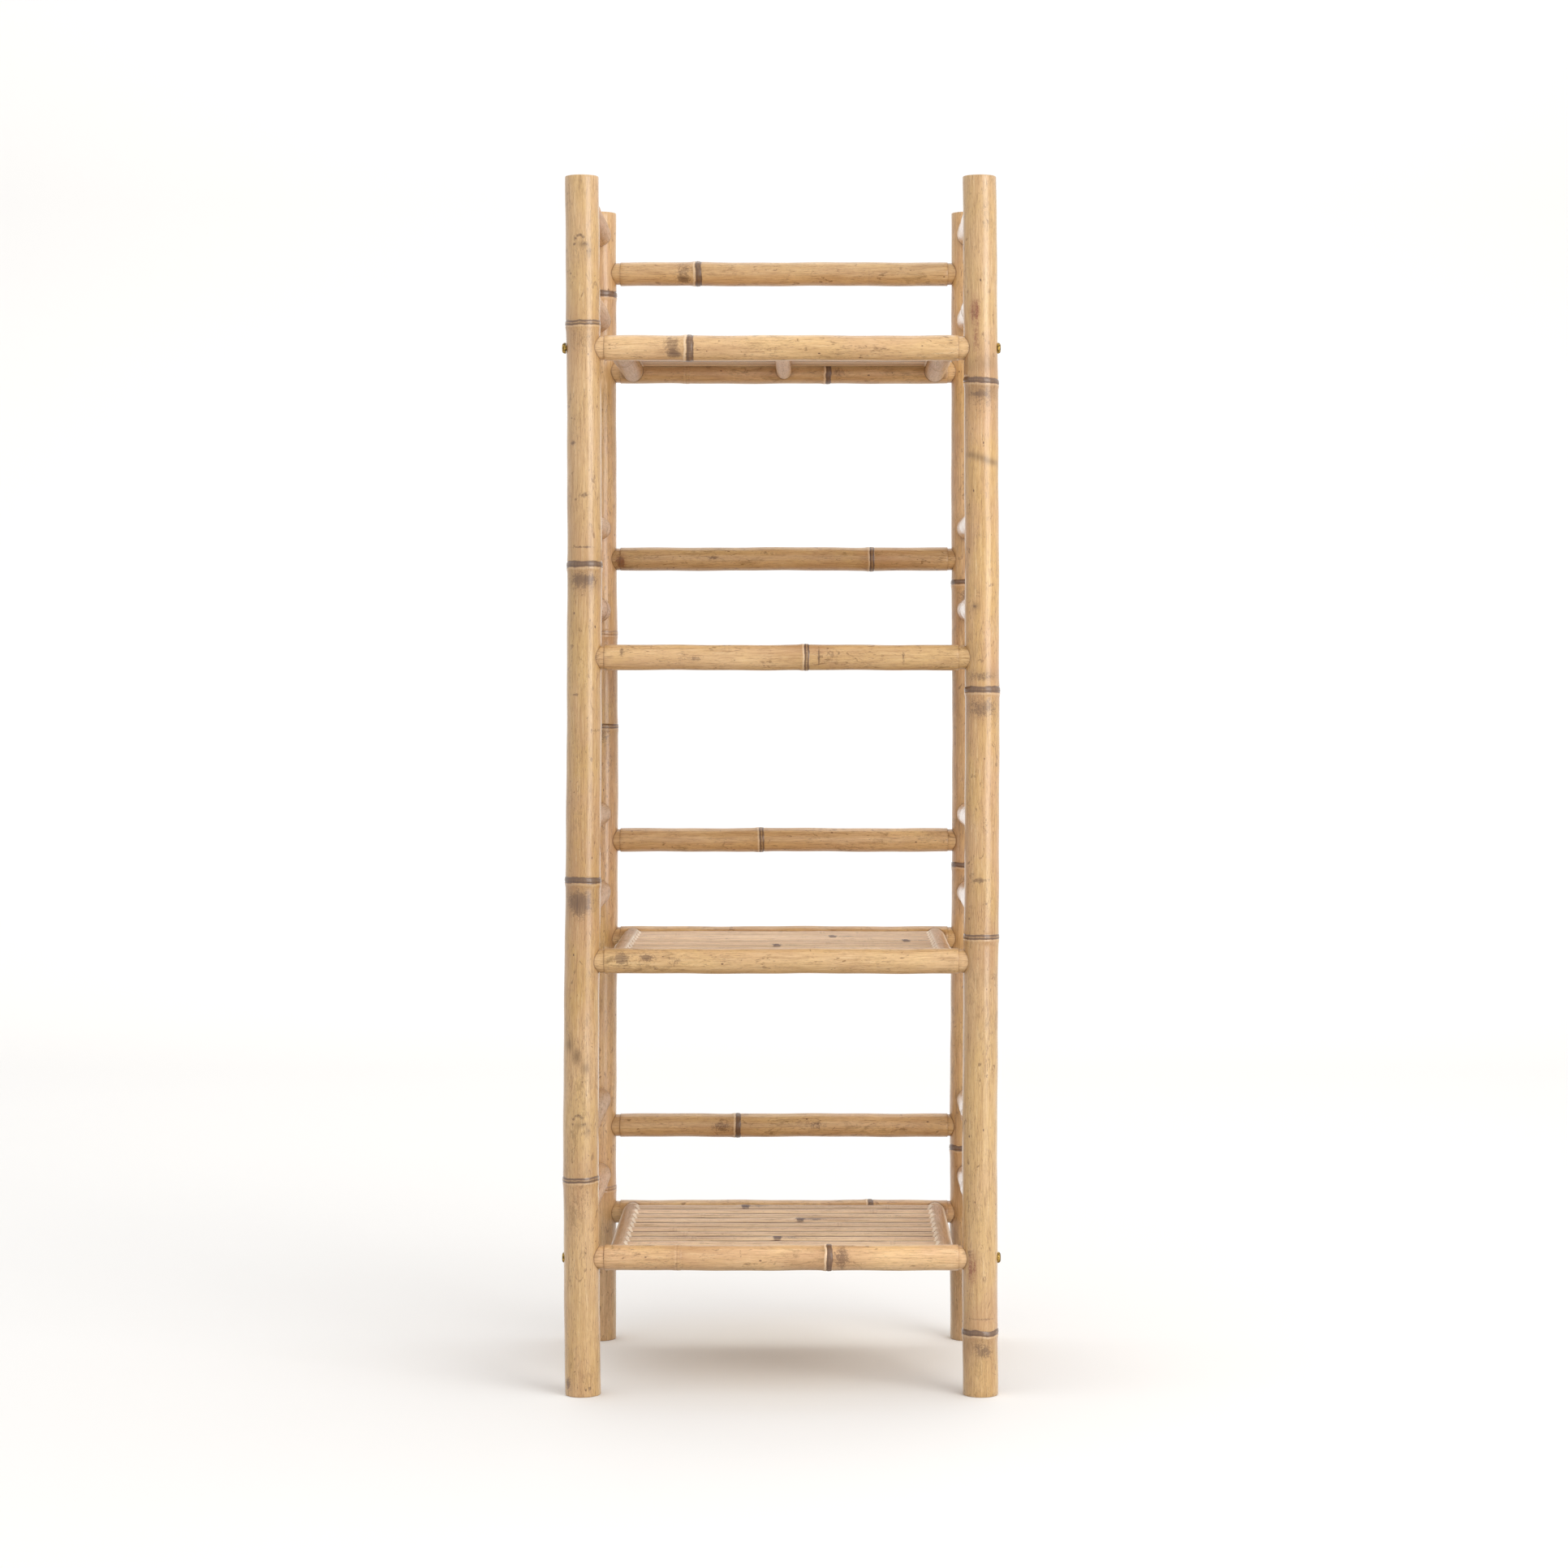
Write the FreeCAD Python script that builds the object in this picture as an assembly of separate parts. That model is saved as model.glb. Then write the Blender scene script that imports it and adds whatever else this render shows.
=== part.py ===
# Four-tier bamboo ladder shelf: four posts, round rails and rungs tenoned into them, slatted shelves.
# Millimetres. +X is the viewer's right, +Y runs to the back, +Z is up.
# The origin is on the floor, in the middle between the four posts.
import FreeCAD, Part
import os
import math

os.makedirs("parts", exist_ok=True)

# Overall sizes
post_height = 1500.0
post_spacing_x = 490.0      # axis to axis, left to right
post_spacing_y = 357.0      # axis to axis, front to back

# Culms
post_diameter = 43.0
post_bore = 23.0
post_edge = 1.2             # broken edge at the head and foot
rail_diameter = 31.2        # rails, back rails and side rungs share one size of culm
rail_bore = 15.0
tenon_diameter = 29.0
tenon_past_axis = 4.5       # how far a tenon runs past the axis of its post
collar_showing = 5.5        # turned collar seen between the shoulder and the post
shoulder_edge = 0.7
pole_diameter = 27.0
pole_bore = 11.0
pole_tenon = 16.0
pole_inset = 44.0           # post axis to side pole axis
bar_diameter = 20.0
bar_bore = 6.0
bar_tenon = 11.0
inner_tenon_reach = 7.0     # a pole or bar tenon stops this far from the rail axis

# Nodes of the culms
ring_rise = 0.5
ring_half_width = 2.0
diaphragm_thickness = 3.0
diaphragm_hole = 6.0        # the diaphragms are punched through so that the culm dries evenly

# Slats
slat_count = 9
slat_gap = 1.4              # between two slats, and between the outer slats and the rails
slat_thickness = 7.5
slat_crown = 2.5            # how much the middle of a slat stands above its edges
slat_end_short = 2.0        # a slat stops this far short of the pole axis

# Fixings
bolt_diameter = 6.0
bolt_length = 30.0
bolt_head_diameter = 13.5
bolt_head_height = 4.4
# Outline of the head from its rim to its top, as shares of its radius and height
bolt_head_outline = ((1.0, 0.0), (1.0, 0.27), (0.82, 0.44), (0.70, 0.85), (0.41, 1.0))
bolt_hex = 4.0              # across the flats
bolt_hex_depth = 2.2
spot_face_depth = 0.9
spot_face_clearance = 0.4
insert_diameter = 9.8
insert_length = 15.0
insert_recess = 1.0
plug_length = 40.0

# Clearances, on the radius
joint_gap = 0.15
plug_gap = 0.1
bolt_gap = 0.25
thread_gap = 0.1

# Heights as shares of the post height, bottom tier first
shelf_shares = (0.1123, 0.3557, 0.6050, 0.8590)
back_rail_shares = (0.1893, 0.4427, 0.6923, 0.9460)
lower_rung_shares = (0.1477, 0.3980, 0.6470, 0.9035)
upper_rung_shares = (0.2140, 0.4670, 0.7193, 0.9790)

# Underside of the slats above the rail axis, bottom tier first
slat_rises = (6.0, 4.0, 5.5, 6.0)

# Tiers whose rails are drawn up with bolts
bolted_tiers = (1, 4)

# Node heights on the posts, as shares of the post height
post_rings = {
    "front_left": (0.1773, 0.4227, 0.6813, 0.8790),
    "front_right": (0.0525, 0.3760, 0.5787, 0.8320),
    "rear_left": (0.1345, 0.5440, 0.6267, 0.9271),
    "rear_right": (0.1704, 0.4212, 0.6720),
}

# Node positions along the rails, measured from the middle to the right
front_rail_rings = ((59.0,), (), (31.0,), (-113.0,))
rear_rail_rings = ((118.0,), (), (62.0,), (62.0,))
back_rail_rings = ((-58.0,), (-27.0,), (120.0,), (-111.0,))

# Worked-out values
post_radius = post_diameter / 2
rail_radius = rail_diameter / 2
tenon_radius = tenon_diameter / 2
pole_radius = pole_diameter / 2
bar_radius = bar_diameter / 2
post_x = post_spacing_x / 2
post_y = post_spacing_y / 2
pole_x = post_x - pole_inset
tenon_length = tenon_past_axis + post_radius + collar_showing
rail_length = post_spacing_x + 2 * tenon_past_axis
rung_length = post_spacing_y + 2 * tenon_past_axis
slat_half_length = pole_x - slat_end_short
slat_clear_depth = post_spacing_y - rail_diameter
slat_width = (slat_clear_depth - (slat_count + 1) * slat_gap) / slat_count
slat_pitch = slat_width + slat_gap
overshoot = 2.0             # how far a cutting shape runs past the surface it opens

x_axis = FreeCAD.Vector(1, 0, 0)
y_axis = FreeCAD.Vector(0, 1, 0)
z_axis = FreeCAD.Vector(0, 0, 1)


def point(x, y, z):
    return FreeCAD.Vector(x, y, z)


def rod(radius, start, end):
    return Part.makeCylinder(radius, (end - start).Length, start, end - start)


def turned(profile):
    """Turn a closed outline of (radius, height) pairs about the Z axis."""
    corners = [point(radius, 0, height) for radius, height in profile]
    face = Part.Face(Part.makePolygon(corners + corners[:1]))
    return face.revolve(point(0, 0, 0), z_axis, 360)


def end_outline(radius, end_radius, end_length, edge):
    """Outline of the lower end of a culm, from the bore outwards and up."""
    if end_length == 0:
        return [(radius - edge, 0), (radius, edge)]
    return [
        (end_radius - edge, 0),
        (end_radius, edge),
        (end_radius, end_length),
        (radius - edge, end_length),
        (radius, end_length + edge),
    ]


def ring_outline(radius, height):
    return [
        (radius, height - ring_half_width),
        (radius + ring_rise, height - ring_half_width / 2),
        (radius + ring_rise, height + ring_half_width / 2),
        (radius, height + ring_half_width),
    ]


def diaphragm_outline(bore_radius, height):
    half = diaphragm_thickness / 2
    return [
        (bore_radius, height + half),
        (diaphragm_hole / 2, height + half),
        (diaphragm_hole / 2, height - half),
        (bore_radius, height - half),
    ]


def culm(length, diameter, bore, rings, end_diameter, end_length, edge):
    """A hollow culm standing on the origin, with a raised ring and a diaphragm at each node."""
    radius = diameter / 2
    end = end_outline(radius, end_diameter / 2, end_length, edge)
    profile = list(end)
    for height in rings:
        profile += ring_outline(radius, height)
    profile += [(r, length - height) for r, height in reversed(end)]
    profile.append((bore / 2, length))
    for height in reversed(rings):
        profile += diaphragm_outline(bore / 2, height)
    profile.append((bore / 2, 0))
    return turned(profile)


def laid(shape, direction, start):
    """Lay a shape that stands on the origin along a direction, from a start point."""
    placed = shape.copy()
    placed.Placement = FreeCAD.Placement(start, FreeCAD.Rotation(z_axis, direction))
    return placed


def save(name, solids):
    shape = solids[0] if len(solids) == 1 else Part.makeCompound(solids)
    shape.exportStep("parts/" + name + ".step")


def make_post(side, depth, ring_shares):
    """One post, bored for its rails and rungs. side and depth are -1 or +1."""
    rings = [post_height * share for share in ring_shares]
    post = culm(post_height, post_diameter, post_bore, rings, post_diameter, 0, post_edge)
    post = laid(post, z_axis, point(side * post_x, depth * post_y, 0))
    x = side * post_x
    y = depth * post_y
    far = tenon_past_axis + joint_gap
    near = post_radius + overshoot
    hole_radius = tenon_radius + joint_gap
    cuts = []
    cross_shares = shelf_shares + back_rail_shares if depth > 0 else shelf_shares
    for share in cross_shares:
        height = post_height * share
        cuts.append(rod(hole_radius, point(x - side * near, y, height), point(x + side * far, y, height)))
    for share in lower_rung_shares + upper_rung_shares:
        height = post_height * share
        cuts.append(rod(hole_radius, point(x, y - depth * near, height), point(x, y + depth * far, height)))
    for tier in bolted_tiers:
        height = post_height * shelf_shares[tier - 1]
        outside = point(x + side * near, y, height)
        seat = point(x + side * (post_radius - spot_face_depth), y, height)
        cuts.append(rod(bolt_diameter / 2 + bolt_gap, outside, point(x, y, height)))
        cuts.append(rod(bolt_head_diameter / 2 + spot_face_clearance, outside, seat))
    return post.cut(Part.makeCompound(cuts))


def make_cross_rail(depth, height, ring_positions):
    """A left-to-right rail at the front (-1) or the rear (+1)."""
    rings = [rail_length / 2 + position for position in ring_positions]
    rail = culm(rail_length, rail_diameter, rail_bore, rings, tenon_diameter, tenon_length, shoulder_edge)
    return laid(rail, x_axis, point(-rail_length / 2, depth * post_y, height))


def make_shelf_rail(depth, height, ring_positions):
    """A cross rail bored on its inner side for the side poles and the centre bar."""
    rail = make_cross_rail(depth, height, ring_positions)
    y = depth * post_y
    y_inside = y - depth * (rail_radius + overshoot)
    cuts = []
    for x, diameter in ((-pole_x, pole_tenon), (0, bar_tenon), (pole_x, pole_tenon)):
        cuts.append(rod(diameter / 2 + joint_gap, point(x, y, height), point(x, y_inside, height)))
    return rail.cut(Part.makeCompound(cuts))


def make_rung(side, height):
    rung = culm(rung_length, rail_diameter, rail_bore, [], tenon_diameter, tenon_length, shoulder_edge)
    return laid(rung, y_axis, point(side * post_x, -rung_length / 2, height))


def coped_rod(x, height, diameter):
    """A rod from the front rail to the rear rail, its ends hollowed to fit round them."""
    body = rod(diameter / 2, point(x, -post_y, height), point(x, post_y, height))
    rails = []
    for y in (-post_y, post_y):
        rails.append(rod(rail_radius + joint_gap, point(x - diameter, y, height), point(x + diameter, y, height)))
    return body.cut(Part.makeCompound(rails))


def with_tenons(body, x, height, tenon, bore):
    reach = post_y - inner_tenon_reach
    core = rod(tenon / 2, point(x, -reach, height), point(x, reach, height))
    hole = rod(bore / 2, point(x, -post_y, height), point(x, post_y, height))
    return body.fuse(core).cut(hole)


def slat_outline(centre_y, underside, grow):
    """Cross-section of a slat in the YZ plane, grown all round by a clearance."""
    half = slat_width / 2 + grow
    low = underside - grow
    shoulder = underside + slat_thickness - slat_crown + grow
    top = underside + slat_thickness + grow
    left_low = point(0, centre_y - half, low)
    left_high = point(0, centre_y - half, shoulder)
    right_low = point(0, centre_y + half, low)
    right_high = point(0, centre_y + half, shoulder)
    crown = Part.Arc(left_high, point(0, centre_y, top), right_high).toShape()
    edges = [
        Part.makeLine(right_high, right_low),
        Part.makeLine(right_low, left_low),
        Part.makeLine(left_low, left_high),
    ]
    return Part.Face(Part.Wire([crown] + edges))


def slat_bar(centre_y, underside, grow, start_x, end_x):
    face = slat_outline(centre_y, underside, grow)
    face.translate(point(start_x, 0, 0))
    return face.extrude(point(end_x - start_x, 0, 0))


def slat_centres():
    first = -slat_clear_depth / 2 + slat_gap + slat_width / 2
    return [first + slat_pitch * index for index in range(slat_count)]


def make_side_pole(side, height, underside):
    """A side pole with one mortise for each slat end."""
    pole = coped_rod(side * pole_x, height, pole_diameter)
    pole = with_tenons(pole, side * pole_x, height, pole_tenon, pole_bore)
    end_x = side * (slat_half_length + joint_gap)
    inner_x = side * (pole_x - pole_radius - overshoot)
    mortises = [slat_bar(y, underside, joint_gap, inner_x, end_x) for y in slat_centres()]
    return pole.cut(Part.makeCompound(mortises))


def make_centre_bar(height, underside):
    """The bar under the slats, planed flat where they rest on it."""
    bar = with_tenons(coped_rod(0, height, bar_diameter), 0, height, bar_tenon, bar_bore)
    corner = point(-bar_radius, -slat_clear_depth / 2, underside - joint_gap)
    planed = Part.makeBox(bar_diameter, slat_clear_depth, bar_diameter, corner)
    return bar.cut(planed)


def make_slats(underside):
    return [slat_bar(y, underside, 0, -slat_half_length, slat_half_length) for y in slat_centres()]


def bolt_shape():
    """A domed bolt with its head underside on the origin and its shank pointing down."""
    profile = [(0, -bolt_length), (bolt_diameter / 2, -bolt_length), (bolt_diameter / 2, 0)]
    for radius_share, height_share in bolt_head_outline:
        profile.append((radius_share * bolt_head_diameter / 2, height_share * bolt_head_height))
    profile.append((0, bolt_head_height))
    hex_radius = bolt_hex / math.sqrt(3)
    corners = []
    for step in range(7):
        angle = math.radians(60 * step)
        corners.append(point(hex_radius * math.cos(angle), hex_radius * math.sin(angle), bolt_head_height))
    key_hole = Part.Face(Part.makePolygon(corners)).extrude(point(0, 0, -bolt_hex_depth))
    return turned(profile).cut(key_hole)


def tube(outer, inner, length):
    return Part.makeCylinder(outer / 2, length).cut(Part.makeCylinder(inner / 2, length))


def fixing_places():
    """Each bolted rail end: which way it points, and its height and depth."""
    places = []
    for tier in bolted_tiers:
        for depth in (-1, 1):
            for side in (-1, 1):
                places.append((side, depth * post_y, post_height * shelf_shares[tier - 1]))
    return places


def fixings_at(shape, distance):
    """Copies of a shape at every bolted rail end, its +Z pointing outwards along X."""
    copies = []
    for side, y, height in fixing_places():
        copies.append(laid(shape, point(side, 0, 0), point(side * distance, y, height)))
    return copies


# Posts
for name, side, depth in (
        ("front_left", -1, -1), ("front_right", 1, -1), ("rear_left", -1, 1), ("rear_right", 1, 1)):
    save(name + "_post", [make_post(side, depth, post_rings[name])])

# Shelves, back rails and side rungs, one tier at a time
for index in range(len(shelf_shares)):
    tier = str(index + 1)
    level = post_height * shelf_shares[index]
    underside = level + slat_rises[index]
    save("shelf_" + tier + "_front_rail", [make_shelf_rail(-1, level, front_rail_rings[index])])
    save("shelf_" + tier + "_rear_rail", [make_shelf_rail(1, level, rear_rail_rings[index])])
    save("shelf_" + tier + "_left_pole", [make_side_pole(-1, level, underside)])
    save("shelf_" + tier + "_right_pole", [make_side_pole(1, level, underside)])
    save("shelf_" + tier + "_centre_bar", [make_centre_bar(level, underside)])
    save("shelf_" + tier + "_slats", make_slats(underside))
    back_height = post_height * back_rail_shares[index]
    save("back_rail_" + tier, [make_cross_rail(1, back_height, back_rail_rings[index])])
    for side_name, side in (("left", -1), ("right", 1)):
        save(side_name + "_lower_rung_" + tier, [make_rung(side, post_height * lower_rung_shares[index])])
        save(side_name + "_upper_rung_" + tier, [make_rung(side, post_height * upper_rung_shares[index])])

# Bolts, the brass inserts they screw into, and the hardwood plugs that hold the inserts
head_seat_x = post_x + post_radius - spot_face_depth
rail_end_x = post_x + tenon_past_axis
insert_tube = tube(insert_diameter, bolt_diameter + 2 * thread_gap, insert_length)
plug_tube = tube(rail_bore - 2 * plug_gap, insert_diameter + 2 * plug_gap, plug_length)
save("frame_bolts", fixings_at(bolt_shape(), head_seat_x))
save("insert_nuts", fixings_at(insert_tube, rail_end_x - insert_recess - insert_length))
save("rail_plugs", fixings_at(plug_tube, rail_end_x - plug_length))
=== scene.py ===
# Bamboo ladder shelf: round culms, split slats and dark brass bolts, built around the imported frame.
import bpy
import math
import numpy as np
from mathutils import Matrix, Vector


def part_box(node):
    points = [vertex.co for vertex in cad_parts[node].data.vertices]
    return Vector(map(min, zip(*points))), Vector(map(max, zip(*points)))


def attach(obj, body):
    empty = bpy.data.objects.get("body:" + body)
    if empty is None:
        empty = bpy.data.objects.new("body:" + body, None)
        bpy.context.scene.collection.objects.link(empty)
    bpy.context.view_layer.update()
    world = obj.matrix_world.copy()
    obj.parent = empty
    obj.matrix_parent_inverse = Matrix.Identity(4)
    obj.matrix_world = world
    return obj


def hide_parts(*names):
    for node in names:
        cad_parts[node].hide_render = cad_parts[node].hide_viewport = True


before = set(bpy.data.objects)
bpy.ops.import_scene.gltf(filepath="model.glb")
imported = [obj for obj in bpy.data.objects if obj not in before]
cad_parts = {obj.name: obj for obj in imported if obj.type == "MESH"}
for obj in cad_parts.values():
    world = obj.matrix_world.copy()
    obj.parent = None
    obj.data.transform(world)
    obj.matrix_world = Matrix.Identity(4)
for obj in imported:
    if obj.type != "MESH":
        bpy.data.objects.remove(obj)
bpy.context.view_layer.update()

scene = bpy.context.scene
mm = 0.001
print("frame loaded:", len(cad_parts), "parts")


# short helpers for the node trees

def addNode(tree, kind, inputs=None, **settings):
    made = tree.nodes.new(kind)
    for key, value in settings.items():
        setattr(made, key, value)
    for key, value in (inputs or {}).items():
        if isinstance(value, bpy.types.NodeSocket):
            tree.links.new(value, made.inputs[key])
        else:
            made.inputs[key].default_value = value
    return made


def calc(tree, operation, first, second=0.0, clamp=False):
    made = addNode(tree, "ShaderNodeMath", {0: first, 1: second}, operation=operation, use_clamp=clamp)
    return made.outputs[0]


def times(tree, first, *others, clamp=False):
    for other in others:
        first = calc(tree, "MULTIPLY", first, other, clamp)
    return first


def stepBetween(tree, value, low, high):  # 0 below low, 1 above high, smooth between
    made = addNode(tree, "ShaderNodeMapRange", {0: value, 1: low, 2: high, 3: 0.0, 4: 1.0},
                   interpolation_type="SMOOTHSTEP")
    return made.outputs[0]


def fadeBetween(tree, value, low, high):  # 1 below low, 0 above high
    return calc(tree, "SUBTRACT", 1.0, stepBetween(tree, value, low, high))


def nearTo(tree, value, centre, low, high):  # 1 close to a value, 0 further from it
    return fadeBetween(tree, calc(tree, "ABSOLUTE", calc(tree, "SUBTRACT", value, centre)), low, high)


def remap(tree, value, low, high, newLow, newHigh):
    return addNode(tree, "ShaderNodeMapRange", {0: value, 1: low, 2: high, 3: newLow, 4: newHigh}).outputs[0]


def grain(tree, place, stretch, scale, detail=3.0, rough=0.55, twist=0.0):  # noise drawn out along the culm
    long = stretched(tree, place, (1.0, 1.0, stretch))
    return addNode(tree, "ShaderNodeTexNoise", {"Vector": long, "Scale": scale, "Detail": detail,
                                                "Roughness": rough, "Distortion": twist}).outputs[0]


def blendColour(tree, amount, first, second):
    made = addNode(tree, "ShaderNodeMix", data_type="RGBA")
    for index, value in ((0, amount), (6, first), (7, second)):
        if isinstance(value, bpy.types.NodeSocket):
            tree.links.new(value, made.inputs[index])
        else:
            made.inputs[index].default_value = value
    return made.outputs[2]


def painted(tree, name, output="Fac"):  # a value stored on the mesh
    made = addNode(tree, "ShaderNodeAttribute", attribute_type="GEOMETRY", attribute_name=name)
    return made.outputs[output]


def stretched(tree, place, by):  # the same place, measured in other steps along each side
    return addNode(tree, "ShaderNodeVectorMath", {0: place, 1: by}, operation="MULTIPLY").outputs[0]


def startMaterial(name):
    made = bpy.data.materials.new(name)
    made.use_nodes = True
    return made, made.node_tree, made.node_tree.nodes["Principled BSDF"]


def finishMaterial(tree, shader, colour, rough, relief, strength, depth):
    bump = addNode(tree, "ShaderNodeBump", {"Height": relief, "Strength": strength, "Distance": depth})
    for title, value in (("Base Color", colour), ("Roughness", rough), ("Normal", bump.outputs[0])):
        tree.links.new(value, shader.inputs[title])


def rgb(red, green, blue):  # screen colour to the renderer's linear one
    def one(value):
        value /= 255.0
        return value / 12.92 if value <= 0.04045 else ((value + 0.055) / 1.055) ** 2.4
    return (one(red), one(green), one(blue), 1.0)


def bambooSkin(name, look):
    material, tree, shader = startMaterial(name)
    place = painted(tree, "culm", "Vector")

    def noise(*shape):
        return grain(tree, place, *shape)

    def step(value, low, high):
        return stepBetween(tree, value, low, high)

    def vary(value, low, high, newLow, newHigh):
        return remap(tree, value, low, high, newLow, newHigh)

    def lay(amount, title):  # one colour over what is there already
        nonlocal ground
        ground = blendColour(tree, amount, ground, look[title])

    fibreFine = noise(0.055, 1250.0, 3.0, 0.7)
    fibreMid = noise(0.050, 560.0, 4.0, 0.68, 0.15)
    fibreWide = noise(0.055, 170.0, 3.0, 0.6, 0.2)
    patch = noise(0.45, 22.0, 4.0, 0.60, 0.4)
    zone = noise(0.30, 6.0, 2.0, 0.5)

    # ground colour drifts between gold and a pinker tan
    ground = blendColour(tree, step(patch, 0.36, 0.64), look["gold"], look["pink"])
    lay(times(tree, step(zone, 0.42, 0.62), 0.45), "pale")
    # lengthwise fibres, wide soft ones first
    lay(times(tree, step(fibreWide, 0.40, 0.68), look["wideFibre"]), "shade")
    lay(times(tree, step(fibreMid, 0.50, 0.72), look["midFibre"]), "fibre")
    bright = step(calc(tree, "SUBTRACT", 1.0, fibreMid), 0.52, 0.72)
    lay(times(tree, bright, look["lightFibre"]), "lightest")
    lay(times(tree, step(fibreFine, 0.52, 0.70), look["fineFibre"]), "fibre")

    # short dark dashes in loose groups, and a few round specks
    dash = step(noise(0.11, 1300.0, 2.0, 0.6), 0.56, 0.63)
    group = step(noise(0.40, 60.0, 4.0, 0.7), 0.38, 0.66)
    dashes = times(tree, dash, group, look["dashes"])
    lay(dashes, "dash")
    long = stretched(tree, place, (1.0, 1.0, 0.55))
    cell = addNode(tree, "ShaderNodeTexVoronoi", {"Vector": long, "Scale": 95.0})
    spot = fadeBetween(tree, cell.outputs["Distance"], 0.05, 0.12)
    rare = step(noise(1.0, 60.0, 1.0, 0.5), 0.54, 0.60)
    lay(times(tree, spot, rare, look["specks"]), "speck")

    # small olive flecks, curled and broken
    fleckShape = step(noise(0.55, 75.0, 2.0, 0.5, 1.6), 0.64, 0.68)
    fleckBreak = step(noise(0.30, 420.0, 4.0, 0.7, 0.5), 0.44, 0.56)
    lay(times(tree, fleckShape, fleckBreak, look["flecks"]), "fleck")

    # browner on both sides of a node
    lay(times(tree, painted(tree, "tanned"), vary(patch, 0.35, 0.65, 0.25, 1.0), look["nodeTan"]), "tan")

    # olive scuffs and weather marks
    scuffShape = step(noise(0.40, 90.0, 6.0, 0.78, 0.5), 0.50, 0.66)
    scuffArea = step(noise(0.45, 12.0, 3.0, 0.6), 0.46, 0.64)
    scuff = times(tree, scuffShape, scuffArea, look["scuffs"])
    lay(scuff, "scuff")

    # smooth olive film
    film = times(tree, painted(tree, "film"), vary(patch, 0.35, 0.65, 0.6, 1.0), clamp=True)
    lay(times(tree, film, vary(fibreMid, 0.35, 0.65, 0.7, 1.0)), "film")

    # stains laid on one by one, broken up so they never look like plain discs
    stain = painted(tree, "stain")
    mottle = noise(1.1, 230.0, 6.0, 0.8, 0.8)
    torn = calc(tree, "ADD", stain, vary(mottle, 0.3, 0.7, -0.42, 0.42))
    stainMask = times(tree, step(torn, 0.32, 0.60), step(stain, 0.03, 0.20))
    lay(times(tree, stainMask, vary(stain, 0.0, 1.0, 0.42, 1.0), vary(fibreMid, 0.40, 0.60, 0.65, 1.0),
              clamp=True), "stain")
    speckle = step(noise(0.5, 520.0, 3.0, 0.7), 0.55, 0.66)
    lay(times(tree, step(stain, 0.02, 0.30), speckle, 0.5), "dash")

    # reddish smears, and pale spots that are partly real wear and partly painted highlight
    broken = step(mottle, 0.40, 0.60)
    lay(times(tree, painted(tree, "rust"), vary(broken, 0.0, 1.0, 0.5, 1.4),
              vary(fibreMid, 0.35, 0.65, 1.2, 0.4), clamp=True), "rust")
    lay(times(tree, painted(tree, "wearAndHighlight"), vary(fibreMid, 0.3, 0.7, 0.5, 1.1), clamp=True), "wearAndHighlight")

    # painted shade in the valleys between neighbours, and the pale arris beside each
    valley = painted(tree, "valley")
    arris = nearTo(tree, valley, 0.74, 0.04, 0.14)
    lay(times(tree, arris, vary(fibreMid, 0.35, 0.65, 0.85, 0.35), clamp=True), "lightest")
    lay(times(tree, step(valley, 0.83, 0.95), 0.95), "seam")

    # nodes: a dark band, or a pair of fine lines
    wobble = vary(noise(1.0, 55.0, 3.0, 0.6), 0.3, 0.7, -0.9 * mm, 0.9 * mm)
    away = calc(tree, "ADD", painted(tree, "nodeAway"), wobble)
    gap = calc(tree, "ABSOLUTE", away)
    bandEdge = fadeBetween(tree, gap, 2.4 * mm, 3.4 * mm)
    band = times(tree, bandEdge, vary(fibreMid, 0.35, 0.65, 0.80, 1.0), painted(tree, "band"))
    lay(band, "ring")
    line = nearTo(tree, gap, 1.9 * mm, 0.9 * mm, 1.5 * mm)
    pair = times(tree, line, vary(patch, 0.35, 0.65, 0.70, 1.0), painted(tree, "pair"))
    lay(pair, "ring")
    waxy = nearTo(tree, away, -4.4 * mm, 0.5 * mm, 1.4 * mm)
    lay(times(tree, waxy, painted(tree, "waxy"), look["waxLine"]), "wearAndHighlight")

    # where one piece meets another: a dark joint line that is partly painted shade, a soft band of painted
    # shade beside it, and a pale rim of painted highlight
    seam = painted(tree, "seam")
    seamLine = fadeBetween(tree, calc(tree, "ABSOLUTE", seam), 0.3 * mm, 0.9 * mm)
    seamBreak = step(noise(1.0, 48.0, 3.0, 0.6), 0.33, 0.56)
    seamMask = times(tree, seamLine, vary(seamBreak, 0.0, 1.0, 0.3, 1.0), look["seamDark"])
    lay(times(tree, fadeBetween(tree, seam, 0.0, 6 * mm), 0.22), "shade")
    lay(times(tree, nearTo(tree, seam, 1.8 * mm, 0.6 * mm, 1.5 * mm), look["paintedRimHighlight"]), "wearAndHighlight")
    lay(seamMask, "seam")

    # each piece a little lighter or darker
    tone = painted(tree, "tone")
    tint = addNode(tree, "ShaderNodeHueSaturation", {
        "Color": ground, "Value": vary(tone, -1.0, 1.0, 0.76, 1.24),
        "Saturation": vary(tone, -1.0, 1.0, 1.05, 0.95)})
    rough = vary(fibreMid, 0.3, 0.7, look["rough"] - 0.05, look["rough"] + 0.07)
    rough = calc(tree, "ADD", rough, times(tree, scuff, 0.15))
    rough = calc(tree, "ADD", rough, times(tree, band, 0.08), True)
    relief = calc(tree, "ADD", times(tree, fibreMid, 0.55), times(tree, fibreFine, 0.35))
    relief = calc(tree, "ADD", relief, times(tree, fibreWide, 0.5))
    for cut, depth in ((dashes, 0.4), (pair, 0.9), (seamMask, 1.2)):
        relief = calc(tree, "SUBTRACT", relief, times(tree, cut, depth))
    finishMaterial(tree, shader, tint.outputs[0], rough, relief, look["bump"], 0.6 * mm)
    shader.inputs["Specular IOR Level"].default_value = look["gloss"]
    shader.inputs["Coat Weight"].default_value = look["coat"]
    shader.inputs["Coat Roughness"].default_value = look["coatRough"]
    return material


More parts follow.
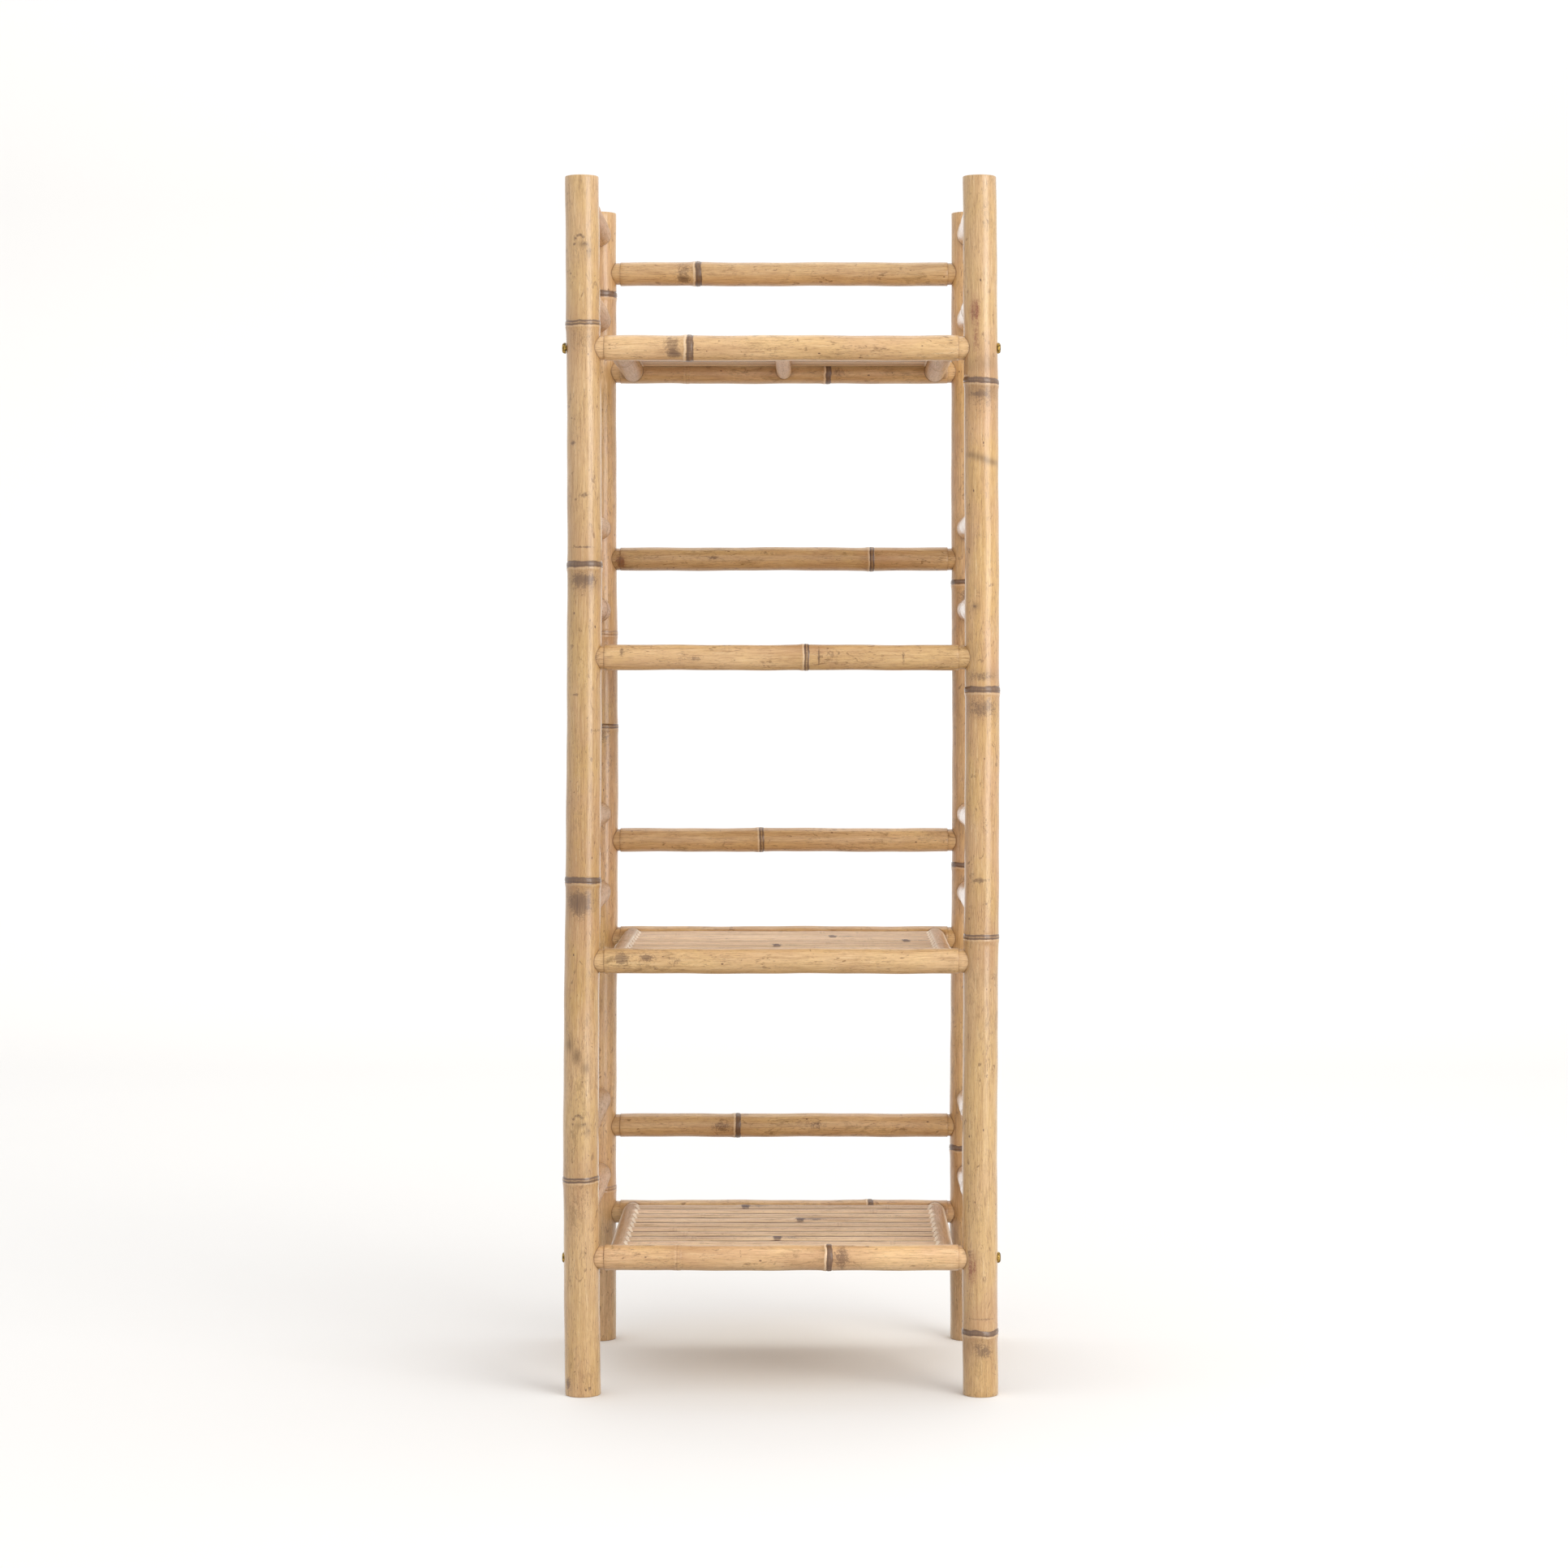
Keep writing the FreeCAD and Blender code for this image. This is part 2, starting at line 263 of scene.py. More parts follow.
skinLook = {
    "gold": rgb(201, 160, 97),
    "pink": rgb(200, 157, 110),
    "pale": rgb(214, 180, 130),
    "lightest": rgb(232, 203, 158),
    "wearAndHighlight": rgb(238, 214, 182),
    "shade": rgb(172, 130, 80),
    "fibre": rgb(148, 108, 64),
    "dash": rgb(108, 76, 46),
    "speck": rgb(92, 58, 34),
    "scuff": rgb(142, 110, 66),
    "fleck": rgb(132, 98, 58),
    "stain": rgb(100, 70, 46),
    "film": rgb(132, 100, 60),
    "rust": rgb(138, 80, 48),
    "ring": rgb(94, 66, 46),
    "seam": rgb(92, 60, 38),
    "tan": rgb(170, 124, 80),
    "nodeTan": 0.5,
    "wideFibre": 0.34,
    "midFibre": 0.55,
    "lightFibre": 0.50,
    "fineFibre": 0.60,
    "dashes": 0.6,
    "flecks": 0.75,
    "specks": 0.95,
    "scuffs": 0.6,
    "seamDark": 0.55,
    "paintedRimHighlight": 0.0,
    "waxLine": 0.25,
    "gloss": 0.35,
    "rough": 0.42,
    "coat": 1.0,
    "coatRough": 0.21,
    "bump": 0.35,
}
railLook = dict(skinLook, gold=rgb(214, 174, 118), pink=rgb(205, 163, 117), pale=rgb(227, 192, 143),
                seamDark=0.5, dashes=0.65, scuffs=0.9, waxLine=0.7, coat=0.6, coatRough=0.24)
rungLook = dict(skinLook, gold=rgb(230, 188, 144), pink=rgb(226, 182, 144), pale=rgb(238, 202, 164),
                lightest=rgb(220, 188, 150), dashes=0.5, scuffs=0.5, seamDark=0.9, paintedRimHighlight=0.7, gloss=0.25,
                rough=0.46, coat=0.0, wearAndHighlight=rgb(250, 234, 212))
sandedLook = dict(skinLook, gold=rgb(208, 168, 120), pink=rgb(204, 162, 120), pale=rgb(222, 186, 144),
                  lightest=rgb(224, 194, 162), shade=rgb(176, 140, 104), fibre=rgb(160, 124, 90),
                  wearAndHighlight=rgb(252, 238, 218), flecks=0.2, dashes=0.5, scuffs=0.3, seamDark=1.0, paintedRimHighlight=1.0,
                  nodeTan=0.2, gloss=0.25, rough=0.46, coat=0.0)
slatLook = dict(skinLook, gold=rgb(238, 203, 160), pink=rgb(233, 198, 163), pale=rgb(244, 216, 184),
                shade=rgb(180, 140, 104), stain=rgb(82, 58, 58), ring=rgb(86, 56, 50),
                wearAndHighlight=rgb(250, 234, 212), midFibre=0.75, wideFibre=0.5, flecks=0.3,
                dashes=0.7, scuffs=0.4, seamDark=0.1, paintedRimHighlight=0.9,
                nodeTan=0.15, gloss=0.28, rough=0.44, coat=0.05)

postSkin = bambooSkin("postBamboo", skinLook)
railSkin = bambooSkin("railBamboo", railLook)
rungSkin = {"left": bambooSkin("rungBamboo", rungLook),  # the right rungs are rubbed to a shine
            "right": bambooSkin("rungPolished", dict(rungLook, coat=1.0, coatRough=0.16))}
sandedSkin = bambooSkin("sandedBamboo", sandedLook)
slatSkin = bambooSkin("slatBamboo", slatLook)


def sawnBamboo(name):  # the cut end: pale and darker tan in soft clouds, with fibre dots and faint saw marks
    material, tree, shader = startMaterial(name)
    place = painted(tree, "culm", "Vector")
    flat = stretched(tree, place, (1.0, 1.0, 0.35))
    dots = addNode(tree, "ShaderNodeTexVoronoi", {"Vector": flat, "Scale": 780.0}).outputs["Distance"]
    cloud = grain(tree, place, 1.0, 120.0, 4.0, 0.6)
    colour = blendColour(tree, stepBetween(tree, cloud, 0.35, 0.65), rgb(216, 184, 138), rgb(196, 160, 112))
    fibres = times(tree, fadeBetween(tree, dots, 0.16, 0.34), 0.55)
    colour = blendColour(tree, fibres, colour, rgb(134, 98, 62))
    saw = stepBetween(tree, grain(tree, place, 0.05, 260.0, 2.0, 0.5), 0.55, 0.7)
    colour = blendColour(tree, times(tree, saw, 0.25), colour, rgb(150, 116, 78))
    finishMaterial(tree, shader, colour, remap(tree, cloud, 0.3, 0.7, 0.62, 0.8), dots, 0.3, 0.4 * mm)
    return material


def boreBamboo(name):  # the papery inside wall
    material, tree, shader = startMaterial(name)
    place = painted(tree, "culm", "Vector")
    streak = grain(tree, place, 0.03, 260.0, 4.0, 0.6)
    cloud = grain(tree, place, 0.4, 40.0, 3.0, 0.6)
    colour = blendColour(tree, stepBetween(tree, streak, 0.4, 0.65), rgb(206, 178, 136), rgb(178, 144, 100))
    darker = times(tree, stepBetween(tree, cloud, 0.5, 0.7), 0.5)
    colour = blendColour(tree, darker, colour, rgb(140, 106, 70))
    finishMaterial(tree, shader, colour, remap(tree, cloud, 0.3, 0.7, 0.7, 0.85), streak, 0.3, 0.5 * mm)
    return material


sawnEnd = sawnBamboo("sawnBamboo")
boreWall = boreBamboo("boreBamboo")


def agedBrass(name, dark, light, wear):
    material, tree, shader = startMaterial(name)
    place = addNode(tree, "ShaderNodeTexCoord").outputs["Object"]
    cloud = addNode(tree, "ShaderNodeTexNoise", {"Vector": place, "Scale": 380.0, "Detail": 5.0}).outputs[0]
    fine = addNode(tree, "ShaderNodeTexNoise", {"Vector": place, "Scale": 1900.0, "Detail": 3.0}).outputs[0]
    colour = blendColour(tree, stepBetween(tree, cloud, 0.40, 0.64), dark, light)
    rubbed = times(tree, stepBetween(tree, fine, 0.56, 0.7), wear)
    colour = blendColour(tree, rubbed, colour, rgb(214, 178, 110))
    finishMaterial(tree, shader, colour, remap(tree, cloud, 0.3, 0.7, 0.30, 0.52), fine, 0.15, 0.2 * mm)
    shader.inputs["Metallic"].default_value = 1.0
    return material


boltMetal = agedBrass("boltBrass", rgb(96, 78, 38), rgb(190, 154, 80), 0.35)
insertMetal = agedBrass("insertBrass", rgb(176, 138, 74), rgb(206, 170, 98), 0.5)


def turnedPlug(name):
    material, tree, shader = startMaterial(name)
    place = addNode(tree, "ShaderNodeTexCoord").outputs["Object"]
    long = stretched(tree, place, (0.08, 1.0, 1.0))
    wood = addNode(tree, "ShaderNodeTexNoise", {"Vector": long, "Scale": 420.0, "Detail": 4.0}).outputs[0]
    colour = blendColour(tree, stepBetween(tree, wood, 0.38, 0.66), rgb(196, 150, 100), rgb(152, 108, 66))
    finishMaterial(tree, shader, colour, remap(tree, wood, 0.3, 0.7, 0.55, 0.72), wood, 0.25, 0.4 * mm)
    return material


plugWood = turnedPlug("plugHardwood")
print("finishes made")


acrossOf = {0: (1, 2), 1: (2, 0), 2: (0, 1)}  # the two directions across each lengthwise one
farAway = 0.05
onSkin = float("nan")
skinBand, sawnBand, boreBand = 0, 1, 2


def straightPart(node):  # where a straight part starts, which way it runs and how long it is
    low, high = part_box(node)
    size = high - low
    axis = max(range(3), key=lambda index: size[index])
    start = (low + high) / 2
    start[axis] = low[axis]
    return np.array(start), axis, size[axis]


def ring(at, radius, band=skinBand, trim=0.0, cope=0.0):
    return {"at": at, "radius": radius, "band": band, "trim": trim, "cope": cope}


def mark(at, turn, long, wide, depth, kind="stain"):  # place in mm, angle, reaches in mm, strength
    return {"at": at * mm, "turn": math.radians(turn), "long": long * mm, "wide": wide * mm, "depth": depth,
            "kind": kind}


def hook(at, turn):  # a small curled stain with a broad tail
    curl = ((-3, -18), (3, -15), (7, -6), (8, 5), (5, 14))
    return [mark(at + up, turn + over, 2.2, 2.4, 0.8) for up, over in curl] + [
        mark(at - 4, turn + 14, 4, 8, 0.9, "film"), mark(at - 3, turn + 20, 2.5, 5, 0.6),
        mark(at - 13, turn + 34, 6, 3.5, 0.9, "film"), mark(at - 12, turn + 36, 4, 2.5, 0.5)]


nodeKinds = {
    "band": {"band": 0.94, "pair": 0.55, "waxy": 0.7, "swell": 1.0, "wide": 1.15},
    "pair": {"band": 0.42, "pair": 0.95, "waxy": 0.6, "swell": 0.8, "wide": 1.0},
    "faint": {"band": 0.06, "pair": 0.42, "waxy": 0.3, "swell": 0.55, "wide": 1.0},
    "trace": {"band": 0.0, "pair": 0.12, "waxy": 0.1, "swell": 0.5, "wide": 1.0},
    "knot": {"band": 0.42, "pair": 0.1, "waxy": 0.0, "swell": 0.9, "wide": 1.0},
}


def culmNode(at, kind, tilt=0.0, lean=0.0, dip=0.0, wide=None):  # tilt and dip in mm
    made = {"at": at * mm, "tilt": tilt * mm, "lean": math.radians(lean), "dip": dip * mm, **nodeKinds[kind]}
    made["wide"] = wide or made["wide"]
    return made


def nodeRise(away, swell):  # a soft swelling on one side, the raised band, and a groove behind it
    rise = 0.30 * np.exp(-(away / (11 * mm)) ** 2)
    rise += 0.70 * np.exp(-((away + 4.6 * mm) / (3.4 * mm)) ** 2)
    rise += 0.62 * np.exp(-(away / (2.6 * mm)) ** 4)
    rise -= 0.30 * np.exp(-((away + 3.1 * mm) / (0.5 * mm)) ** 2)
    rise -= 0.28 * np.exp(-((away - 3.4 * mm) / (0.7 * mm)) ** 2)
    return rise * swell * mm


def awayFrom(node, along, turn):
    slope = node["tilt"] * np.cos(turn - node["lean"])
    near = np.angle(np.exp(1j * (turn - node["lean"])))
    return along - node["at"] - slope + node["dip"] * np.exp(-(near / 0.55) ** 2)


def easyCurve(stops, values, where):  # an easy curve through a few chosen points
    where = np.clip(where, stops[0], stops[-1])
    slopes = np.gradient(np.array(values, float), np.array(stops, float))
    result = np.zeros_like(where)
    for index in range(len(stops) - 1):
        width = stops[index + 1] - stops[index]
        inside = (where >= stops[index]) & (where <= stops[index + 1])
        t = (where[inside] - stops[index]) / width
        result[inside] = ((2 * t**3 - 3 * t**2 + 1) * values[index]
                          + (t**3 - 2 * t**2 + t) * width * slopes[index]
                          + (-2 * t**3 + 3 * t**2) * values[index + 1]
                          + (t**3 - t**2) * width * slopes[index + 1])
    return result


# where the rings of a culm stand: closer together at nodes, joints and marks
def stationsBetween(low, high, pitch, nodes=(), places=(), marks=()):
    spots = list(np.linspace(low, high, max(2, int((high - low) / pitch))))
    places = list(places)
    places += [(each["at"], 2.2 * each["long"], max(each["long"] / 3, 0.6 * mm)) for each in marks]
    for node in nodes:
        reach = abs(node["tilt"]) + abs(node["dip"])
        for off in np.arange(-14 * mm - reach, 14 * mm + reach, 2 * mm):
            spots.append(node["at"] + off)
        for off in np.arange(-4.8 * mm - reach, 4.8 * mm + reach, 0.5 * mm):
            spots.append(node["at"] + off)
    for place, reach, step in places:
        spots += [spot for spot in np.arange(place - reach, place + reach, step) if low < spot < high]
    kept = [low]
    for spot in sorted(spots):
        if spot - kept[-1] > 0.4 * mm and spot < high - 0.4 * mm:
            kept.append(spot)
    return kept + [high]


def meshFromRings(name, points, bands, paints, materials, closed=False, capStart=False, capEnd=False):
    count, around = points.shape[:2]
    vertices = points.reshape(-1, 3)
    row = np.arange(around)
    nextRow = (row + 1) % around
    faces = []
    finishes = []
    last = count if closed else count - 1
    for index in range(last):
        low = index * around
        high = ((index + 1) % count) * around
        faces += np.stack([low + row, low + nextRow, high + nextRow, high + row], 1).tolist()
        finishes += [bands[index]] * around
    extra = []
    for wanted, index in ((capStart, 0), (capEnd, count - 1)):
        if not wanted:
            continue
        centre = len(vertices) + len(extra)
        extra.append((index, points[index].mean(0)))
        base = index * around
        order = (row, nextRow) if index else (nextRow, row)
        faces += np.stack([base + order[0], base + order[1], np.full(around, centre)], 1).tolist()
        finishes += [bands[index]] * around
    if extra:
        vertices = np.concatenate([vertices, np.array([place for _, place in extra])])
    mesh = bpy.data.meshes.new(name)
    mesh.from_pydata(vertices.tolist(), [], faces)
    for material in materials:
        mesh.materials.append(material)
    mesh.polygons.foreach_set("material_index", np.array(finishes, np.int32))
    for title, values in paints.items():
        flat = values.reshape(count * around, -1)
        for index, _ in extra:
            flat = np.concatenate([flat, values[index].reshape(1, around, -1).mean(1)])
        kind, slot = ("FLOAT_VECTOR", "vector") if flat.shape[1] == 3 else ("FLOAT", "value")
        layer = mesh.attributes.new(title, kind, "POINT")
        layer.data.foreach_set(slot, flat.astype(np.float32).ravel())
    mesh.update()
    mesh.shade_smooth()
    mesh.set_sharp_from_angle(angle=math.radians(38))
    piece = bpy.data.objects.new(name, mesh)
    scene.collection.objects.link(piece)
    return piece


def faceOutwards(piece):  # turn every face outwards, by the volume that the mesh closes round
    mesh = piece.data
    mesh.calc_loop_triangles()
    place = np.zeros(len(mesh.vertices) * 3)
    mesh.vertices.foreach_get("co", place)
    place = place.reshape(-1, 3)
    index = np.zeros(len(mesh.loop_triangles) * 3, np.int32)
    mesh.loop_triangles.foreach_get("vertices", index)
    first, second, third = (place[index.reshape(-1, 3)[:, corner]] for corner in range(3))
    if np.einsum("ij,ij->i", first, np.cross(second, third)).sum() < 0:
        mesh.flip_normals()


def finishPiece(piece, nodes):
    faceOutwards(piece)
    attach(piece, "root")
    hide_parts(*nodes)
    return piece


def paintCulm(along, turn, across, radius, nodes, stains, seam, seed, tone):
    rng = np.random.default_rng(seed)
    away = np.full(along.shape, 0.03)
    tanned = np.zeros(along.shape)
    strengths = {title: np.zeros(along.shape) for title in ("band", "pair", "waxy")}
    for node in nodes:
        local = awayFrom(node, along, turn) / node["wide"]
        tanned = np.maximum(tanned, np.exp(-(local / 0.045) ** 2))
        near = np.abs(local) < np.abs(away)
        away = np.where(near, local, away)
        for title, values in strengths.items():
            values[near] = node[title] * (np.abs(local[near]) < 0.02)
    marks = {kind: np.zeros(along.shape) for kind in ("stain", "film", "rust", "wearAndHighlight")}
    for spot in stains:
        sideways = np.angle(np.exp(1j * (turn - spot["turn"]))) * radius / spot["wide"]
        reach = np.hypot((along - spot["at"]) / spot["long"], sideways)
        marks[spot["kind"]] += spot["depth"] * np.exp(-reach ** 2)
    shift = rng.uniform(0, 7, 3)
    drift = 0.20 * np.sin(along * rng.uniform(5, 9) + rng.uniform(0, 6))
    place = np.stack([across[0] + shift[0], across[1] + shift[1], along + shift[2]], -1)
    return {"culm": place, "nodeAway": away, "tanned": tanned, **strengths, **marks,
            "seam": np.clip(seam, -farAway, farAway), "tone": tone + drift}


def buildCulm(name, start, axis, profile, piece, around, closed=False):
    rng = np.random.default_rng(piece["seed"])
    turn = np.linspace(0, 2 * math.pi, around, endpoint=False)[None, :] * np.ones((len(profile), 1))

    def column(title):
        return np.array([each[title] for each in profile])[:, None]

    along = column("at") + 0 * turn
    fixed = column("radius") + 0 * turn

    # the outside is never quite round or straight
    phase = rng.uniform(0, 6.28, 5)
    skin = piece["radiusAt"](along)
    skin = skin * (1 + piece["oval"] * np.cos(2 * (turn - phase[0]) + 1.5 * along))
    skin = skin + piece["lumps"] * np.sin(along * 31 + phase[1] + 2 * np.sin(turn + phase[2]))
    skin = skin + 0.6 * piece["lumps"] * np.sin(along * 83 + phase[3] + 3 * np.cos(turn + phase[4]))
    for node in piece["nodes"]:
        skin = skin + nodeRise(awayFrom(node, along, turn), node["swell"])
    wavy = 1 + 0.03 * np.sin(2 * turn + phase[1]) + 0.02 * np.sin(3 * turn + phase[3])
    fixed = np.where(column("band") == boreBand, fixed * wavy, fixed)
    radius = np.where(np.isnan(fixed), skin - column("trim"), fixed)

    across = [radius * np.cos(turn), radius * np.sin(turn)]
    if piece.get("flatTop"):
        limit = piece["flatTop"]
        across[0] = np.minimum(across[0], np.where(limit["within"](along), limit["height"], 1.0))
    moved = along
    if piece.get("copeRadius"):  # the cut end follows the round of the rail
        reach = piece["copeRadius"]
        drop = reach - np.sqrt(np.maximum(reach ** 2 - across[0] ** 2, 0.0))
        moved = along + np.sign(along - piece["length"] / 2) * drop * column("cope")
    offset = piece["bend"](along)
    lengthwise, first, second = (np.eye(3)[way] for way in (axis, *acrossOf[axis]))
    points = (start + moved[..., None] * lengthwise + (offset[0] + across[0])[..., None] * first
              + (offset[1] + across[1])[..., None] * second)
    seam = piece["seam"](points)
    paints = paintCulm(moved, turn, across, radius, piece["nodes"], piece["stains"], seam, piece["seed"],
                       piece["tone"])
    bands = [each["band"] for each in profile]
    return meshFromRings(name, points, bands, paints, [piece["skin"], sawnEnd, boreWall], closed,
                         capStart=not closed, capEnd=not closed)


# The four posts. Nodes and marks are in mm from the floor, bows are sideways in mm from foot to top.
postLook = {
    "footDiameter": 44.0 * mm,
    "topDiameter": 41.4 * mm,
    "boreDiameter": 23 * mm,
    "edge": 1.2 * mm,
    "nodeWall": 3 * mm,
    "nodeHole": 3.2 * mm,
    "jointReach": 17.5 * mm,  # the rings stand closer this far above and below each joint
    "oval": 0.008,
    "lumps": 0.22 * mm,
    "bowStops": (0, 0.2, 0.5, 0.72, 1.0),  # the shares of the height where the bows are given
}
posts = {
    "front_left_post": {
        "bowX": (0.3, -2.0, 1.4, 2.4, -0.9),
        "bowY": (0.0, 0.5, 0.9, 0.4, 0.0),
        "nodes": [culmNode(266, "pair", 0.5, 0), culmNode(634, "band", 0.9, -160, 0, 1.3),
                  culmNode(1022, "band", 0.5, -60, 0, 1.2), culmNode(1319, "pair", 0.4, 30)],
        "stains": [*hook(1418, -97), *hook(338, -97), mark(433, -130, 8, 6, 1.1, "film"),
                   mark(418, -102, 9, 6, 1.1, "film"), mark(403, -72, 7, 5, 1.0, "film"),
                   mark(1002, -92, 15, 28, 0.7, "film"), mark(612, -95, 17, 28, 0.6, "film"),
                   mark(1300, -92, 13, 28, 0.3, "film"), mark(1000, -95, 16, 22, 0.42),
                   mark(1004, -88, 7, 20, 0.45), mark(1043, -95, 1.4, 16, 0.8), mark(608, -98, 17, 22, 0.72),
                   mark(598, -96, 14, 9, 0.35), mark(634, -168, 4, 8, 0.8), mark(16, -142, 9, 5, 0.9),
                   mark(11, -62, 3, 3, 0.7), mark(1171, -128, 3, 5, 0.8), mark(1107, -88, 4, 7, 0.7),
                   mark(1300, -90, 26, 24, 0.3), mark(240, -95, 30, 22, 0.28), mark(862, -115, 2, 5, 0.7),
                   mark(440, -80, 16, 2, 0.4)],
        "tone": -0.1,
    },
    "front_right_post": {
        "bowX": (0.1, -0.6, 2.3, 1.8, -1.0),
        "bowY": (0.0, -0.4, 0.3, 0.6, 0.0),
        "nodes": [culmNode(79, "band", 0.7, -60, 2.6), culmNode(564, "pair", 0.5, -100),
                  culmNode(868, "band", 0.6, -90, 0, 1.3), culmNode(1248, "band", 1.6, 190)],
        "stains": [mark(1333, -112, 14, 5.5, 1.4, "rust"), mark(1300, -108, 20, 4, 0.7, "rust"),
                   mark(1329, -112, 4, 3, 0.7), mark(158, -120, 17, 6, 1.1, "rust"),
                   mark(1231, -106, 3, 12, 0.45), mark(176, -128, 7, 5, 0.6),
                   mark(96, -90, 1.5, 20, 0.6), mark(56, -72, 10, 12, 0.45),
                   mark(60, -100, 16, 14, 0.35), mark(884, -92, 7, 22, 0.6), mark(846, -92, 15, 26, 0.62),
                   mark(1157, -132, 3.6, 9, 0.8, "film"), mark(1154, -108, 4.0, 9, 0.8, "film"),
                   mark(1151, -84, 4.2, 9, 0.8, "film"), mark(1148, -60, 4.2, 9, 0.9, "film"),
                   mark(1146, -38, 4.2, 9, 0.9, "film"), mark(1234, -90, 11, 30, 0.8, "film"),
                   mark(1267, -90, 9, 30, 0.5, "film"), mark(970, -115, 5, 5, 0.9, "film"),
                   mark(970, -118, 3, 4, 0.7), mark(886, -92, 8, 30, 0.45, "film"),
                   mark(846, -92, 14, 30, 0.45, "film"), mark(62, -92, 14, 28, 0.4, "film"),
                   mark(1225, -85, 22, 22, 0.42),
                   mark(634, -100, 4, 13, 0.65), mark(700, -82, 24, 4, 0.4)],
        "tone": 0.1,
    },
    "rear_left_post": {
        "bowX": (-0.6, -0.3, 2.6, 0.8, 0.6),
        "bowY": (0.0, 0.6, 0.8, 0.3, 0.0),
        "nodes": [culmNode(202, "faint", 0.4, 40), culmNode(816, "pair", 0.5, -80),
                  culmNode(940, "faint", 0.4, -20), culmNode(1391, "band", 0.6, -90, 0, 1.45)],
        "stains": [mark(805, -90, 14, 14, 0.6), mark(1362, -75, 12, 14, 0.45), mark(770, -60, 20, 6, 0.4)],
        "tone": 0.5,
    },
    "rear_right_post": {
        "bowX": (-1.5, -2.2, 0.4, -1.1, -1.2),
        "bowY": (0.0, -0.3, -0.6, -0.3, 0.0),
        "nodes": [culmNode(256, "band", 0.5, -50), culmNode(632, "band", 0.6, -130),
                  culmNode(1008, "band", 0.5, -90)],
        "stains": [mark(990, -95, 12, 14, 0.6), mark(612, -95, 12, 14, 0.5), mark(470, -90, 2, 12, 0.6)],
        "tone": 0.5,
    },
}
railSize = {
    "diameter": 31.2 * mm,
    "tenonDiameter": 29 * mm,
    "boreDiameter": 15 * mm,
    "boreDepth": 52 * mm,
    "joint": 26 * mm,  # from the tip of the tenon to the skin of the post
    "shoulder": 31.5 * mm,  # from the tip of the tenon to the turned shoulder
    "edge": 0.5 * mm,
    "oval": 0.010,
    "lumps": 0.30 * mm,
    "shelfBow": 0.5 * mm,
    "backBow": 1.2 * mm,
}
poleSize = {"diameter": 27 * mm, "tenonDiameter": 16 * mm, "boreDiameter": 11 * mm}
barSize = {"diameter": 20 * mm, "tenonDiameter": 11 * mm, "boreDiameter": 6 * mm}
boltSize = {
    "headDiameter": 13.5 * mm,
    "head": 4.4 * mm,
    "rim": 0.9 * mm,  # height of the straight edge under the dome
    "crown": 2.9 * mm,  # radius of the flat on top
    "shankDiameter": 6 * mm,
    "shank": 25.6 * mm,
    "socketAcross": 4 * mm,
    "socketDepth": 2.4 * mm,
    "threadPitch": 1.0 * mm,
    "threadDepth": 0.35 * mm,
}
tiers = (1, 2, 3, 4)
boltedTiers = (1, 4)


def middleOf(node):
    low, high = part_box(node)
    return (low + high) / 2


shelfHeights = {tier: middleOf(f"shelf_{tier}_front_rail").z for tier in tiers}
railNodes = [f"shelf_{tier}_{end}_rail" for tier in tiers for end in ("front", "rear")]
railNodes += [f"back_rail_{tier}" for tier in tiers]
rungNodes = [f"{side}_{level}_rung_{tier}" for tier in tiers for side in ("left", "right")
             for level in ("lower", "upper")]
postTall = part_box("front_left_post")[1].z


def postAxis(name, height):  # where the bowed middle of a post is, and its radius, at each height
    look = posts[name]
    middle = middleOf(name)
    share = np.clip(height / postTall, 0, 1)
    bowX = easyCurve(postLook["bowStops"], look["bowX"], share) * mm
    bowY = easyCurve(postLook["bowStops"], look["bowY"], share) * mm
    radius = postLook["footDiameter"] / 2 + (postLook["topDiameter"] - postLook["footDiameter"]) / 2 * share
    return middle.x + bowX, middle.y + bowY, radius


def postSeam(name):  # distance from the nearest tenon or bolt that enters this post
    middle = middleOf(name)
    inX, inY = -np.sign(middle.x), -np.sign(middle.y)
    end = "front" if middle.y < 0 else "rear"
    side = "left" if middle.x < 0 else "right"
    heights = [shelfHeights[tier] for tier in tiers]
    if end == "rear":
        heights += [middleOf(f"back_rail_{tier}").z for tier in tiers]
    rungs = [middleOf(f"{side}_{level}_rung_{tier}").z for tier in tiers for level in ("lower", "upper")]
    bolts = [shelfHeights[tier] for tier in boltedTiers]

    def seam(points):
        centreX, centreY, _ = postAxis(name, points[..., 2])
        offX, offY = points[..., 0] - centreX, points[..., 1] - centreY
        tenon = railSize["tenonDiameter"] / 2
        near = np.full(offX.shape, farAway)
        for entering, across, middleAcross, facing, radius in (
                (heights, 1, middle.y, offX * inX > 0, tenon), (rungs, 0, middle.x, offY * inY > 0, tenon),
                (bolts, 1, middle.y, offX * inX < 0, boltSize["headDiameter"] / 2)):
            for height in entering:
                gap = np.hypot(points[..., across] - middleAcross, points[..., 2] - height) - radius
                near = np.minimum(near, np.where(facing, gap, farAway))
        return near
    return seam, sorted(heights + rungs + bolts)


